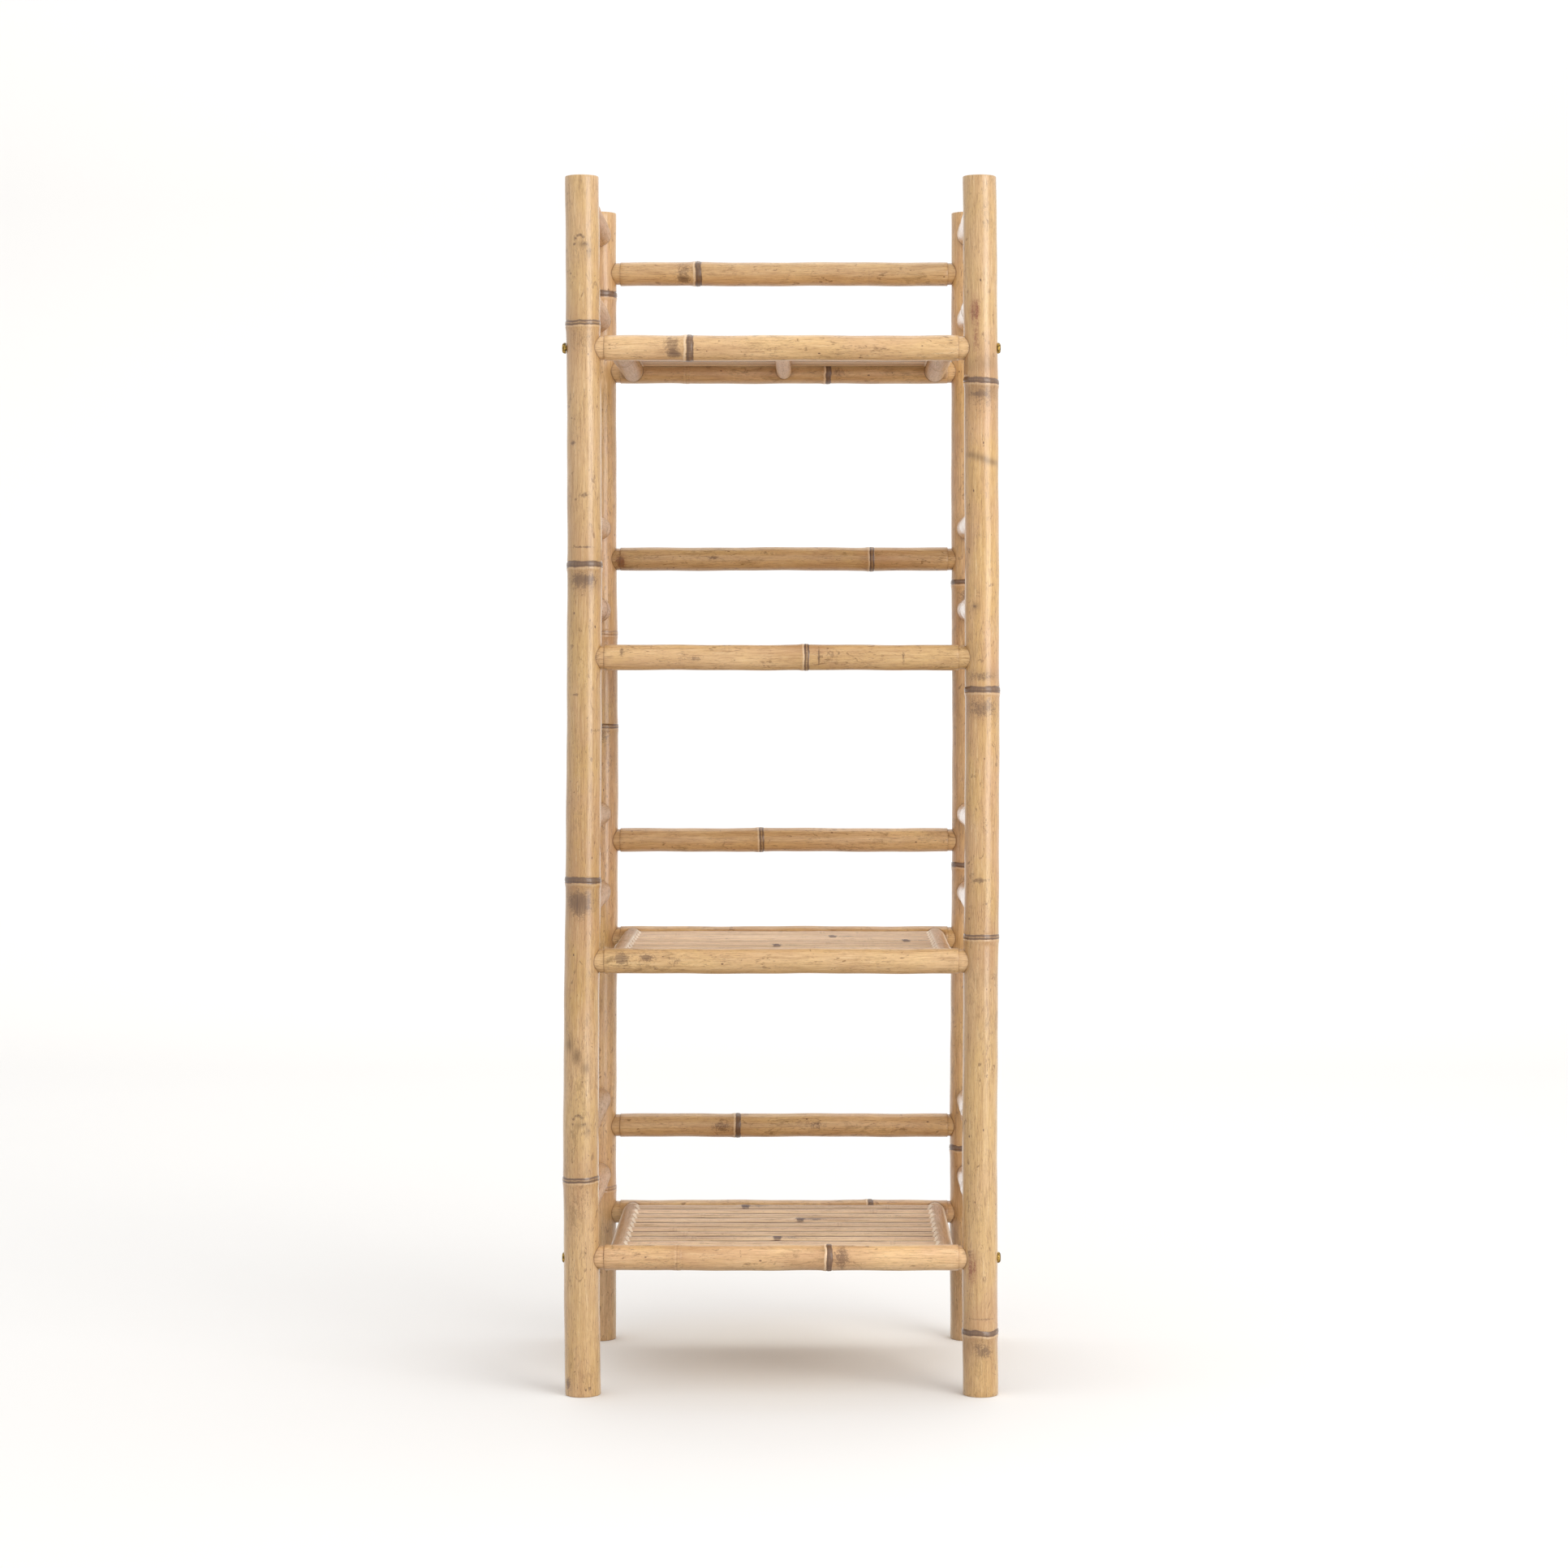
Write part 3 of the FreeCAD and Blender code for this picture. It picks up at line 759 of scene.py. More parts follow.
def makePost(name, seed):
    look = posts[name]
    start, axis, length = straightPart(name)
    seam, joints = postSeam(name)
    edge = postLook["edge"]
    bore = postLook["boreDiameter"] / 2
    places = [(height, postLook["jointReach"], 2.2 * mm) for height in joints]
    profile = [ring(0, onSkin, trim=edge), ring(0.3 * edge, onSkin, trim=0.3 * edge)]
    stations = stationsBetween(edge, length - edge, 7 * mm, look["nodes"], places, look["stains"])
    profile += [ring(at, onSkin) for at in stations]
    profile += [ring(length - 0.3 * edge, onSkin, trim=0.3 * edge), ring(length, onSkin, sawnBand, edge)]
    profile += [ring(length, bore, boreBand)]
    for node in sorted(look["nodes"], key=lambda each: -each["at"]):
        half = postLook["nodeWall"] / 2
        for off, radius in ((half + 2 * mm, bore), (half, bore * 0.9), (half * 0.8, postLook["nodeHole"]),
                            (-half * 0.8, postLook["nodeHole"]), (-half, bore * 0.9), (-half - 2 * mm, bore)):
            profile.append(ring(node["at"] + off, radius, boreBand))
    profile += [ring(0, bore, sawnBand)]

    def bend(along):
        centreX, centreY, _ = postAxis(name, along)
        return centreX - start[0], centreY - start[1]

    piece = {"seed": seed, "radiusAt": lambda along: postAxis(name, along)[2], "oval": postLook["oval"],
             "lumps": postLook["lumps"], "nodes": look["nodes"], "stains": look["stains"], "bend": bend,
             "seam": seam, "tone": look["tone"], "skin": postSkin}
    made = buildCulm(f"{name}_culm", start, axis, profile, piece, 72, closed=True)
    return finishPiece(made, [name])


for number, name in enumerate(posts):
    makePost(name, 11 + number)
print("posts made")


def bothEnds(half, middle, length):  # the near end, the middle, and the near end again the other way round
    far = [dict(each, at=length - each["at"]) for each in reversed(half)]
    for index in range(len(far) - 1):  # a band's finish belongs to the ring before it
        far[index]["band"] = half[len(half) - 2 - index]["band"]
    return half + [ring(at, onSkin) for at in middle] + far


def tenonedProfile(length, nodes, marks):  # bore, end, tenon, shoulder and skin of a rail or rung
    tenon = railSize["tenonDiameter"] / 2
    bore = railSize["boreDiameter"] / 2
    deep = railSize["boreDepth"]
    shoulder = railSize["shoulder"]
    edge = railSize["edge"]
    half = [ring(deep, bore * 0.2, boreBand), ring(deep - 1 * mm, bore * 0.9, boreBand),
            ring(deep - 3 * mm, bore, boreBand), ring(deep / 2, bore, boreBand), ring(0, bore, sawnBand),
            ring(0, tenon - 0.6 * mm), ring(0.2 * mm, tenon - 0.2 * mm), ring(0.6 * mm, tenon)]
    half += [ring(at, tenon) for at in np.arange(railSize["joint"] - 9 * mm, shoulder - 0.3 * mm, 0.8 * mm)]
    half += [ring(shoulder, tenon), ring(shoulder, onSkin, trim=edge),
             ring(shoulder + 0.3 * edge, onSkin, trim=0.3 * edge)]
    middle = stationsBetween(shoulder + edge, length - shoulder - edge, 6 * mm, nodes, (), marks)
    return bothEnds(half, middle, length)


def evenRadius(diameter):
    return lambda along: diameter / 2 + 0 * along


def seamAtPosts(left, right, axis, shoulders):  # where a tenon enters its post, and the line of its shoulder
    def seam(points):
        near = np.full(points.shape[:2], farAway)
        for place in shoulders:
            near = np.minimum(near, np.abs(points[..., axis] - place) + 0.35 * mm)
        for name in (left, right):
            centreX, centreY, radius = postAxis(name, points[..., 2])
            gap = np.hypot(points[..., 0] - centreX, points[..., 1] - centreY) - radius
            near = np.where(np.abs(gap) < np.abs(near), gap, near)
        return near
    return seam


def seamAtInnerRods(tier, inward):  # where the poles and the centre bar meet a shelf rail
    height = shelfHeights[tier]
    railY = middleOf(f"shelf_{tier}_front_rail").y * inward
    poleX = [middleOf(f"shelf_{tier}_{side}_pole").x for side in ("left", "right")]

    def seam(points):
        near = np.full(points.shape[:2], farAway)
        facing = (points[..., 1] - railY) * inward > 0
        for x, size in ((poleX[0], poleSize), (poleX[1], poleSize), (0.0, barSize)):
            gap = np.hypot(points[..., 0] - x, points[..., 2] - height) - size["diameter"] / 2
            # the dark line is drawn wider here, as painted shade beside each rod
            near = np.minimum(near, np.where(facing, gap * 0.45, farAway))
        return near
    return seam


# Rails: nodes and marks are in mm right of the middle. A mark's angle is 180 at the front, 90 on top.
rails = {
    "shelf_1_front_rail": {"nodes": [culmNode(59, "band", 0.4, 180), culmNode(-126, "trace", 0.3, 150)],
                           "stains": [mark(74, 172, 10, 22, 0.72)], "tone": 0.9},
    "shelf_2_front_rail": {"nodes": [], "stains": [mark(-196, 165, 9, 9, 0.95), mark(-164, 160, 12, 7, 0.75),
                                                   mark(-130, 178, 12, 6, 0.5)], "tone": 0.1},
    "shelf_3_front_rail": {"nodes": [culmNode(31, "pair", 0.5, 180)],
                           "stains": [mark(46, 175, 1.3, 14, 0.8), mark(62, 165, 14, 8, 0.5),
                                      mark(-196, 150, 3, 8, 0.7), mark(-106, 185, 14, 3, 0.6),
                                      mark(150, 178, 2, 9, 0.7)], "tone": -0.2},
    "shelf_4_front_rail": {"nodes": [culmNode(-113, "band", 0.5, 170, 0, 1.4)],
                           "stains": [mark(-134, 172, 13, 18, 0.68), mark(-131, 215, 8, 4, 0.8)],
                           "tone": 0.3},
    "shelf_1_rear_rail": {"nodes": [culmNode(115, "band", 0.4, 180)], "stains": [], "tone": 0.1},
    "shelf_2_rear_rail": {"nodes": [], "stains": [mark(37, 160, 6, 6, 0.5), mark(123, 165, 6, 6, 0.5)],
                          "tone": 0.0},
    "shelf_3_rear_rail": {"nodes": [culmNode(59, "faint", 0.4, 180)], "stains": [], "tone": -0.1},
    "shelf_4_rear_rail": {"nodes": [culmNode(59, "band", 0.4, 170), culmNode(-128, "trace", 0.4, 170)],
                          "stains": [mark(74, 185, 12, 9, 0.5)], "tone": 0.25},
    "back_rail_1": {"nodes": [culmNode(-61, "band", 0.5, 180)],
                    "stains": [mark(-83, 180, 16, 12, 0.65), mark(43, 170, 14, 7, 0.6)], "tone": -0.2},
    "back_rail_2": {"nodes": [culmNode(-30, "pair", 0.4, 170)], "stains": [], "tone": -0.05},
    "back_rail_3": {"nodes": [culmNode(117, "pair", 0.4, 190)],
                    "stains": [mark(-217, 195, 7, 10, 1.0, "rust"), mark(-217, 195, 6, 9, 0.9),
                               mark(-23, 150, 14, 4, 0.5), mark(-95, 175, 8, 3, 0.6)], "tone": -0.85},
    "back_rail_4": {"nodes": [culmNode(-114, "band", 0.5, 180, 0, 1.4)],
                    "stains": [mark(-134, 175, 13, 17, 0.6), mark(-133, 215, 8, 4, 0.8)], "tone": -0.45},
}


def slightBow(seed, length, most):  # a small bow, none at the ends
    rng = np.random.default_rng(seed)
    amount = rng.uniform(-most, most, 2)
    return lambda along: [each * np.sin(math.pi * along / length) for each in amount]


def makeRail(name, seed):
    look = rails[name]
    start, axis, length = straightPart(name)
    nodes = [dict(node, at=node["at"] - start[0]) for node in look["nodes"]]
    stains = [dict(spot, at=spot["at"] - start[0]) for spot in look["stains"]]
    end = "front" if start[1] < 0 else "rear"
    shoulders = (start[0] + railSize["shoulder"], start[0] + length - railSize["shoulder"])
    atPosts = seamAtPosts(f"{end}_left_post", f"{end}_right_post", 0, shoulders)
    atRods = None
    if name.startswith("shelf"):
        atRods = seamAtInnerRods(int(name.split("_")[1]), 1.0 if end == "front" else -1.0)

    def seam(points):
        near = atPosts(points)
        if atRods is None:
            return near
        other = atRods(points)
        return np.where(np.abs(other) < np.abs(near), other, near)

    profile = tenonedProfile(length, nodes, stains)
    most = railSize["shelfBow" if name.startswith("shelf") else "backBow"]
    piece = {"seed": seed, "radiusAt": evenRadius(railSize["diameter"]), "oval": railSize["oval"],
             "lumps": railSize["lumps"], "nodes": nodes, "stains": stains,
             "bend": slightBow(seed, length, most), "seam": seam, "tone": look["tone"], "skin": railSkin}
    made = buildCulm(f"{name}_culm", start, axis, profile, piece, 60)
    return finishPiece(made, [name])


for number, name in enumerate(railNodes):
    makeRail(name, 31 + number)
print("rails made")


rungShape = {
    # painted light: the left rungs are painted darker as shade, the right ones lighter as highlight
    "tone": {"left": -0.75, "right": 0.25},
    "paintedSheen": {"left": 0.0, "right": 0.4},  # how strongly the inner side is painted paler, a painted reflection
    "nodeChance": 0.6,
    "oval": 0.006,
    "lumps": 0.22 * mm,
    "bow": 1.0 * mm,
}


def makeRung(name, seed):
    rng = np.random.default_rng(seed)
    start, axis, length = straightPart(name)
    side = name.split("_")[0]
    nodes = []
    if rng.uniform() < rungShape["nodeChance"]:
        where = rng.uniform(0.25, 0.75) * length / mm
        nodes.append(culmNode(where, str(rng.choice(["band", "pair", "faint"])), 0.4, rng.uniform(0, 360)))
    stains = [mark(rng.uniform(50, 300), rng.uniform(0, 360), rng.uniform(4, 12), rng.uniform(4, 9), 0.45)
              for _ in range(3)]
    inner = 90 if side == "left" else -90
    # painted reflection: a pale stripe along the inner side of each rung
    stains.append(mark(length / mm / 2, inner, 600, 13, rungShape["paintedSheen"][side], "wearAndHighlight"))
    shoulders = (start[1] + railSize["shoulder"], start[1] + length - railSize["shoulder"])
    profile = tenonedProfile(length, nodes, stains)
    piece = {"seed": seed, "radiusAt": evenRadius(railSize["diameter"]), "oval": rungShape["oval"],
             "lumps": rungShape["lumps"], "nodes": nodes, "stains": stains,
             "bend": slightBow(seed, length, rungShape["bow"]),
             "seam": seamAtPosts(f"front_{side}_post", f"rear_{side}_post", 1, shoulders),
             "tone": rungShape["tone"][side] + rng.uniform(-0.15, 0.15), "skin": rungSkin[side]}
    made = buildCulm(f"{name}_culm", start, axis, profile, piece, 52)
    return finishPiece(made, [name])


for number, name in enumerate(rungNodes):
    makeRung(name, 51 + number)
print("rungs made")


innerRods = {
    "boreDepth": 30 * mm,
    "edge": 0.5 * mm,
    "run": 22 * mm,  # over this length the rings straighten out again
    "clear": 26 * mm,  # from here the rod is plain
    "poleTone": {"left": -0.3, "right": 0.3},
    "barTone": 0.6,
    "nodeChance": 0.5,
    "oval": 0.005,
    "lumps": 0.06 * mm,
    "bow": 0.2 * mm,
}


def copedProfile(length, nodes, sizes, reach):  # rods whose ends are cut to fit round a rail
    tenon = sizes["tenonDiameter"] / 2
    bore = sizes["boreDiameter"] / 2
    deep = innerRods["boreDepth"]
    edge = innerRods["edge"]
    run = innerRods["run"]
    clear = reach + innerRods["clear"]
    half = [ring(deep, bore * 0.2, boreBand), ring(deep - 1 * mm, bore, boreBand), ring(0, bore, sawnBand),
            ring(0, tenon - 0.4 * mm), ring(0.4 * mm, tenon), ring(reach, tenon, sawnBand, 0, 1),
            ring(reach, onSkin, trim=edge, cope=1), ring(reach + 0.3 * edge, onSkin, trim=0.3 * edge, cope=1),
            ring(reach + edge, onSkin, cope=1)]
    for at in np.linspace(1.5 * mm, run, 10):
        half.append(ring(reach + at, onSkin, cope=float(1 - (at / run) ** 0.8)))
    middle = stationsBetween(clear, length - reach - innerRods["clear"], 6 * mm, nodes)
    return bothEnds(half, middle, length)


def seamAtRails(tier):
    height = shelfHeights[tier]
    frontY = middleOf(f"shelf_{tier}_front_rail").y

    def seam(points):
        near = np.full(points.shape[:2], farAway)
        for y in (frontY, -frontY):
            gap = np.hypot(points[..., 1] - y, points[..., 2] - height) - railSize["diameter"] / 2
            near = np.where(np.abs(gap) < np.abs(near), gap, near)
        return near
    return seam


def makeInnerRod(name, tier, sizes, seed):
    rng = np.random.default_rng(seed)
    low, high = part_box(name)
    length = high.y - low.y
    start = np.array([(low.x + high.x) / 2, low.y, shelfHeights[tier]])
    reach = high.y + middleOf(f"shelf_{tier}_front_rail").y + railSize["diameter"] / 2
    nodes = []
    if rng.uniform() < innerRods["nodeChance"] and sizes is poleSize:
        nodes.append(culmNode(rng.uniform(0.25, 0.75) * length / mm, "faint", 0.4, rng.uniform(0, 360)))
    stains = [mark(rng.uniform(40, 300), rng.uniform(90, 270), rng.uniform(3, 8), rng.uniform(3, 7), 0.4)
              for _ in range(3)]
    tone = innerRods["barTone"]
    if sizes is poleSize:
        inner = 1 if "left" in name else -1
        # painted highlights: two pale lines along the top of each pole
        stains += [mark(length / mm / 2, -52 * inner, 900, 2.4, 1.0, "wearAndHighlight"),
                   mark(length / mm / 2, 34 * inner, 900, 2.6, 1.0, "wearAndHighlight")]
        tone = innerRods["poleTone"]["left" if inner > 0 else "right"] + rng.uniform(-0.15, 0.15)
    profile = copedProfile(length, nodes, sizes, reach)
    piece = {"seed": seed, "length": length, "radiusAt": evenRadius(sizes["diameter"]),
             "oval": innerRods["oval"], "lumps": innerRods["lumps"], "nodes": nodes, "stains": stains,
             "bend": slightBow(seed, length, innerRods["bow"]), "seam": seamAtRails(tier),
             "tone": tone, "skin": sandedSkin, "copeRadius": railSize["diameter"] / 2}
    if sizes is barSize:
        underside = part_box(f"shelf_{tier}_slats")[0].z
        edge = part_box(f"shelf_{tier}_slats")[1].y
        piece["flatTop"] = {"height": underside - shelfHeights[tier] - 0.1 * mm,
                            "within": lambda along: np.abs(along - length / 2) < edge + 1 * mm}
    made = buildCulm(f"{name}_rod", start, 1, profile, piece, 48)
    return finishPiece(made, [name])


for tier in tiers:
    makeInnerRod(f"shelf_{tier}_left_pole", tier, poleSize, 71 + tier)
    makeInnerRod(f"shelf_{tier}_right_pole", tier, poleSize, 81 + tier)
    makeInnerRod(f"shelf_{tier}_centre_bar", tier, barSize, 91 + tier)
print("poles and centre bars made")

# Slats: split culms laid crown up, side by side from front to back.
slatLayout = {
    "count": 9,
    "gap": 1.4 * mm,
    "crown": 2.5 * mm,
    "edge": 1.1 * mm,
    "hollow": 0.6 * mm,  # how far the split underside is dished
    "foot": 0.7 * mm,  # the sides end this far above the underside
    "bevel": 0.7 * mm,  # the sawn ends are rounded over this much
    "lumps": 0.12 * mm,
    "toneRange": 0.4,
    "knots": {1: {1: -6, 5: 22, 8: -51}, 2: {2: -7, 4: 158, 6: 64}, 3: {3: 40, 7: -90}, 4: {2: 70, 5: -60}},
}


def slatOutline(width, thick, top=15, side=4, bottom=9):  # across, up; starts at the left of the crown
    crown = slatLayout["crown"]
    edge = slatLayout["edge"]
    half = width / 2
    bow = (half ** 2 + crown ** 2) / (2 * crown)
    outline = []
    for across in np.linspace(-half + edge, half - edge, top):
        outline.append((across, thick - crown + math.sqrt(bow ** 2 - across ** 2) - (bow - crown)))
    shoulder = outline[-1][1]
    corner = []
    for step in range(1, side):
        angle = math.pi / 2 * step / (side - 1)
        corner.append((half - edge + edge * math.sin(angle), shoulder - edge * (1 - math.cos(angle))))
    corner.append((half, slatLayout["foot"]))
    outline += corner
    for across in np.linspace(half - 0.5 * mm, -half + 0.5 * mm, bottom):
        outline.append((across, slatLayout["hollow"] * (1 - (across / half) ** 2)))
    outline += [(-across, up) for across, up in reversed(corner)]
    return np.array(outline)


def makeSlat(tier, number, seed):
    rng = np.random.default_rng(seed)
    low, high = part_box(f"shelf_{tier}_slats")
    count = slatLayout["count"]
    width = (high.y - low.y - (count - 1) * slatLayout["gap"]) / count
    centreY = low.y + width / 2 + number * (width + slatLayout["gap"])
    thick = high.z - low.z
    length = high.x - low.x
    outline = slatOutline(width, thick)
    knotAt = slatLayout["knots"].get(tier, {}).get(number)
    nodes = []
    stains = []
    if knotAt is not None:
        spot = knotAt - low.x / mm
        nodes.append(culmNode(spot, "knot", 0.3, 90, 0, 1.5))
        stains += [mark(spot, 88, 4, 7, 3.0), mark(spot - 9, 88, 4, 6, 0.3, "wearAndHighlight"),
                   mark(spot + 19, 92, 15, 6, 0.6)]
    other = rng.uniform(0.1, 0.9) * length / mm
    if knotAt is None or abs(other - nodes[0]["at"] / mm) > 90:
        nodes.append(culmNode(other, "trace", 0.4, 90))
    stains.append(mark(rng.uniform(20, 380), rng.uniform(70, 110), rng.uniform(10, 26), 3,
                       rng.uniform(0.2, 0.6)))
    places = [(0.0, 5 * mm, 1 * mm), (length, 5 * mm, 1 * mm)]
    bevel = slatLayout["bevel"]
    stations = np.array(stationsBetween(bevel, length - bevel, 6 * mm, nodes, places))
    stations = np.concatenate([[0.0, 0.2 * mm], stations, [length - 0.2 * mm, length]])
    trim = np.zeros(len(stations))
    trim[[0, -1]] = bevel
    trim[[1, -2]] = 0.25 * mm
    around = len(outline)
    along = stations[:, None] * np.ones((1, around))
    across = outline[None, :, 0] * np.ones((len(stations), 1))
    up = outline[None, :, 1] * np.ones((len(stations), 1))
    across = across - np.sign(across) * trim[:, None]
    up = up + np.where(up > thick / 2, -trim[:, None], trim[:, None])
    upper = np.clip(up / thick, 0, 1) ** 2
    angle = math.pi / 2 - across / (width / 2) * 0.6
    for node in nodes:
        up = up + 0.8 * upper * nodeRise(awayFrom(node, along, angle), node["swell"])
    wander = rng.uniform(0, 6.28, 4)
    lumps = slatLayout["lumps"]
    up = up + upper * lumps * (np.sin(along * 40 + wander[0]) + np.sin(along * 17 + wander[1]))
    across = across + lumps * np.sin(along * 23 + wander[2])
    lift = rng.uniform(-0.25, 0.1) * mm
    points = np.stack([low.x + along, centreY + across, low.z + up + lift * upper], -1)
    poleX = abs(middleOf(f"shelf_{tier}_left_pole").x)
    gap = np.hypot(np.abs(points[..., 0]) - poleX, points[..., 2] - shelfHeights[tier])
    seam = np.where(np.abs(points[..., 0]) < poleX - 3 * mm, gap - poleSize["diameter"] / 2, farAway)
    tone = rng.uniform(-slatLayout["toneRange"], slatLayout["toneRange"])
    paints = paintCulm(along, angle, (across, up), width / 2, nodes, stains, seam, seed, tone)
    # how far towards each side edge, for the painted shade in the valleys
    paints["valley"] = np.clip(np.abs(across) / (width / 2), 0, 1) + 0 * along
    bands = [skinBand] * len(stations)
    bands[0] = bands[-1] = sawnBand
    made = meshFromRings(f"shelf_{tier}_slat_{number + 1}", points, bands, paints,
                         [slatSkin, sawnEnd, boreWall], capStart=True, capEnd=True)
    return finishPiece(made, [f"shelf_{tier}_slats"])


for tier in tiers:
    for number in range(slatLayout["count"]):
        makeSlat(tier, number, 100 + 10 * tier + number)
print("slats made")


def hexRadius(turn, across):  # distance from the middle of a hexagon to its side
    return across / 2 / np.cos(np.mod(turn, math.pi / 3) - math.pi / 6)


def makeBolt(name, outward, place):
    size = boltSize
    head = size["headDiameter"] / 2
    rim = size["rim"]
    top = size["head"]
    crown = size["crown"]
    shank = size["shankDiameter"] / 2
    socket = size["socketAcross"]
    around = 48
    turn = np.linspace(0, 2 * math.pi, around, endpoint=False)
    rings = [(-size["shank"], 0 * turn + 0.3 * shank), (-size["shank"], 0 * turn + 0.75 * shank)]
    for at in np.arange(-size["shank"] + 0.6 * mm, -4 * mm, 0.22 * mm):
        twist = np.cos(2 * math.pi * (at / size["threadPitch"] - turn / (2 * math.pi)))
        rings.append((at, shank - size["threadDepth"] * (0.5 + 0.5 * twist)))
    rings += [(-3.5 * mm, 0 * turn + shank), (0.0, 0 * turn + shank), (0.0, 0 * turn + head - 0.35 * mm),
              (0.15 * mm, 0 * turn + head - 0.1 * mm), (0.5 * mm, 0 * turn + head), (rim, 0 * turn + head)]
    for step in np.linspace(0.08, 1.0, 12):
        lean = step * math.pi / 2
        rings.append((rim + (top - rim) * math.sin(lean),
                      0 * turn + crown + (head - crown) * math.cos(lean) ** 0.7))
    floor = top - size["socketDepth"]
    rings += [(top, hexRadius(turn, socket + 0.4 * mm)), (top - 0.2 * mm, hexRadius(turn, socket)),
              (floor, hexRadius(turn, socket)), (floor - 0.7 * mm, 0 * turn + 0.3 * mm)]
    points = np.zeros((len(rings), around, 3))
    for index, (at, radius) in enumerate(rings):
        points[index, :, 0] = place[0] + outward * at
        points[index, :, 1] = place[1] + radius * np.cos(turn)
        points[index, :, 2] = place[2] + radius * np.sin(turn)
    made = meshFromRings(name, points, [0] * len(rings), {}, [boltMetal], capStart=True, capEnd=True)
    return finishPiece(made, ["frame_bolts"])


boltLow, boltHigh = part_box("frame_bolts")
for tier in boltedTiers:
    for end in ("front", "rear"):
        rail = middleOf(f"shelf_{tier}_{end}_rail")
        for side, faceX in (("left", boltLow.x + boltSize["head"]), ("right", boltHigh.x - boltSize["head"])):
            makeBolt(f"bolt_{tier}_{end}_{side}", -1.0 if side == "left" else 1.0, (faceX, rail.y, rail.z))
print("bolts made")

# the inserts and plugs keep their own shapes
for node, material in (("insert_nuts", insertMetal), ("rail_plugs", plugWood)):
    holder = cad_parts[node]
    if not holder.data.materials:
        holder.data.materials.append(material)
    for each in holder.material_slots:
        each.material = material

# A pale sweep: flat floor that turns up into a wall well behind the shelf.
sweep = {"halfWidth": 9.0, "front": -7.0, "turnAt": 3.2, "turnRadius": 2.2, "height": 7.0}


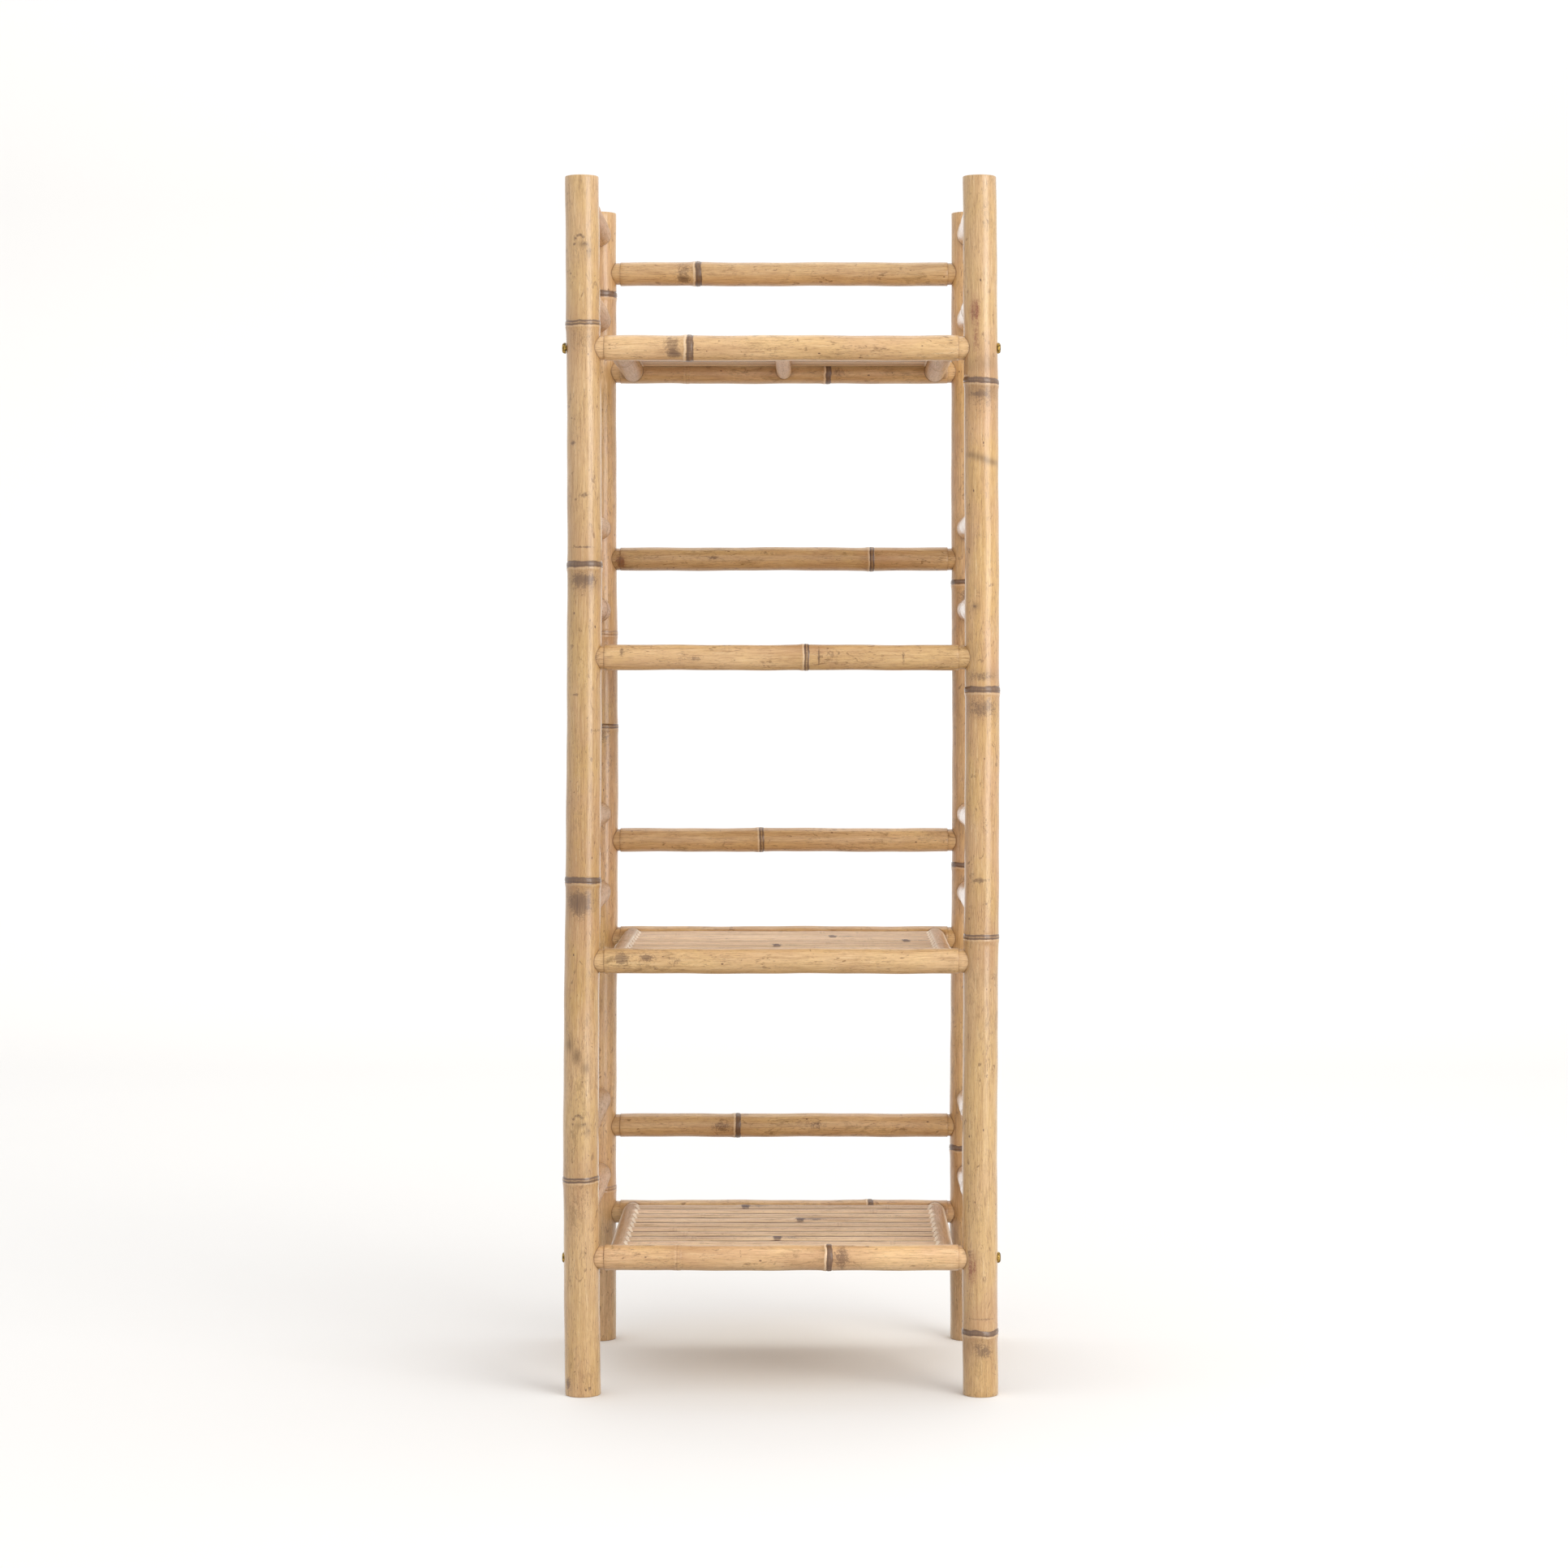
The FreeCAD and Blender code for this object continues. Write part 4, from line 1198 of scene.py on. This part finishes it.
def makeSweep():
    radius = sweep["turnRadius"]
    line = [(y, 0.0) for y in (sweep["front"], -2.0, -1.0, 0.0, 1.0, sweep["turnAt"])]
    for step in np.linspace(0.08, 1.0, 16):
        lean = step * math.pi / 2
        line.append((sweep["turnAt"] + radius * math.sin(lean), radius * (1 - math.cos(lean))))
    line.append((sweep["turnAt"] + radius, sweep["height"]))
    across = np.linspace(-sweep["halfWidth"], sweep["halfWidth"], 9)
    vertices = [(float(x), float(y), float(z)) for y, z in line for x in across]
    faces = []
    for row in range(len(line) - 1):
        for column in range(len(across) - 1):
            first = row * len(across) + column
            faces.append((first, first + 1, first + 1 + len(across), first + len(across)))
    mesh = bpy.data.meshes.new("sweep")
    mesh.from_pydata(vertices, [], faces)
    mesh.shade_smooth()
    piece = bpy.data.objects.new("sweep", mesh)
    scene.collection.objects.link(piece)
    material, tree, shader = startMaterial("paleSweep")
    place = addNode(tree, "ShaderNodeTexCoord").outputs["Object"]
    cloud = addNode(tree, "ShaderNodeTexNoise", {"Vector": place, "Scale": 1.3, "Detail": 2.0}).outputs[0]
    colour = blendColour(tree, cloud, (0.90, 0.89, 0.875, 1), (0.91, 0.90, 0.885, 1))
    # painted bounce light: the floor is painted warmer under the shelf
    apart = addNode(tree, "ShaderNodeVectorMath", {0: place, 1: (0.0, 0.05, 0.0)}, operation="DISTANCE")
    far = stepBetween(tree, apart.outputs[1], 0.08, 0.40)
    colour = blendColour(tree, far, (1.0, 0.955, 0.885, 1), colour)
    tree.links.new(colour, shader.inputs["Base Color"])
    shader.inputs["Roughness"].default_value = 0.85
    shader.inputs["Specular IOR Level"].default_value = 0.15
    dim = addNode(tree, "ShaderNodeBsdfDiffuse", {"Color": studio["bounce"]})
    seen = calc(tree, "SUBTRACT", 1.0, addNode(tree, "ShaderNodeLightPath").outputs["Is Diffuse Ray"])
    mixed = addNode(tree, "ShaderNodeMixShader", {0: seen, 1: dim.outputs[0], 2: shader.outputs[0]})
    tree.links.new(mixed.outputs[0], tree.nodes["Material Output"].inputs["Surface"])
    mesh.materials.append(material)


studio = {
    "world": 1.005,
    "bounce": (0.47, 0.45, 0.43, 1),  # how much light the floor gives back to the shelf
    "key": {"place": (2.5, -2.8, 1.6), "aim": (0.0, 0.0, 0.9), "size": (2.1, 3.2), "power": 68},
    "soft": {"place": (3.0, -3.2, 3.9), "aim": (0.0, 0.0, 0.6), "size": (4.2, 4.2), "power": 33},
    "wall": {"place": (0.0, 2.6, 5.2), "aim": (0.0, 5.2, 1.0), "size": (6.0, 2.0), "power": 80},
}


def makeLamp(name):
    look = studio[name]
    lamp = bpy.data.lights.new(name, "AREA")
    lamp.shape = "RECTANGLE"
    lamp.size = look["size"][0]
    lamp.size_y = look["size"][1]
    lamp.energy = look["power"]
    holder = bpy.data.objects.new(name, lamp)
    holder.location = look["place"]
    holder.rotation_mode = "QUATERNION"
    holder.rotation_quaternion = (Vector(look["aim"]) - Vector(look["place"])).to_track_quat("-Z", "Y")
    scene.collection.objects.link(holder)


makeSweep()
for name in ("key", "soft", "wall"):
    makeLamp(name)
world = bpy.data.worlds.new("studioWorld")
world.use_nodes = True
world.node_tree.nodes["Background"].inputs["Color"].default_value = (1.0, 1.0, 1.0, 1)
world.node_tree.nodes["Background"].inputs["Strength"].default_value = studio["world"]
scene.world = world
scene.view_settings.view_transform = "Standard"
scene.view_settings.look = "None"
print("studio made")

camera = {"place": (0.0422, -4.498, 0.9056), "lens": 80.5, "shiftX": -0.0202, "shiftY": -0.0797}
cameraData = bpy.data.cameras.new("camera")
cameraData.lens = camera["lens"]
cameraData.sensor_width = 36.0
cameraData.shift_x = camera["shiftX"]
cameraData.shift_y = camera["shiftY"]
cameraData.clip_end = 60.0
cameraObject = bpy.data.objects.new("camera", cameraData)
cameraObject.location = camera["place"]
cameraObject.rotation_euler = (math.radians(90), 0, 0)
scene.collection.objects.link(cameraObject)
scene.camera = cameraObject
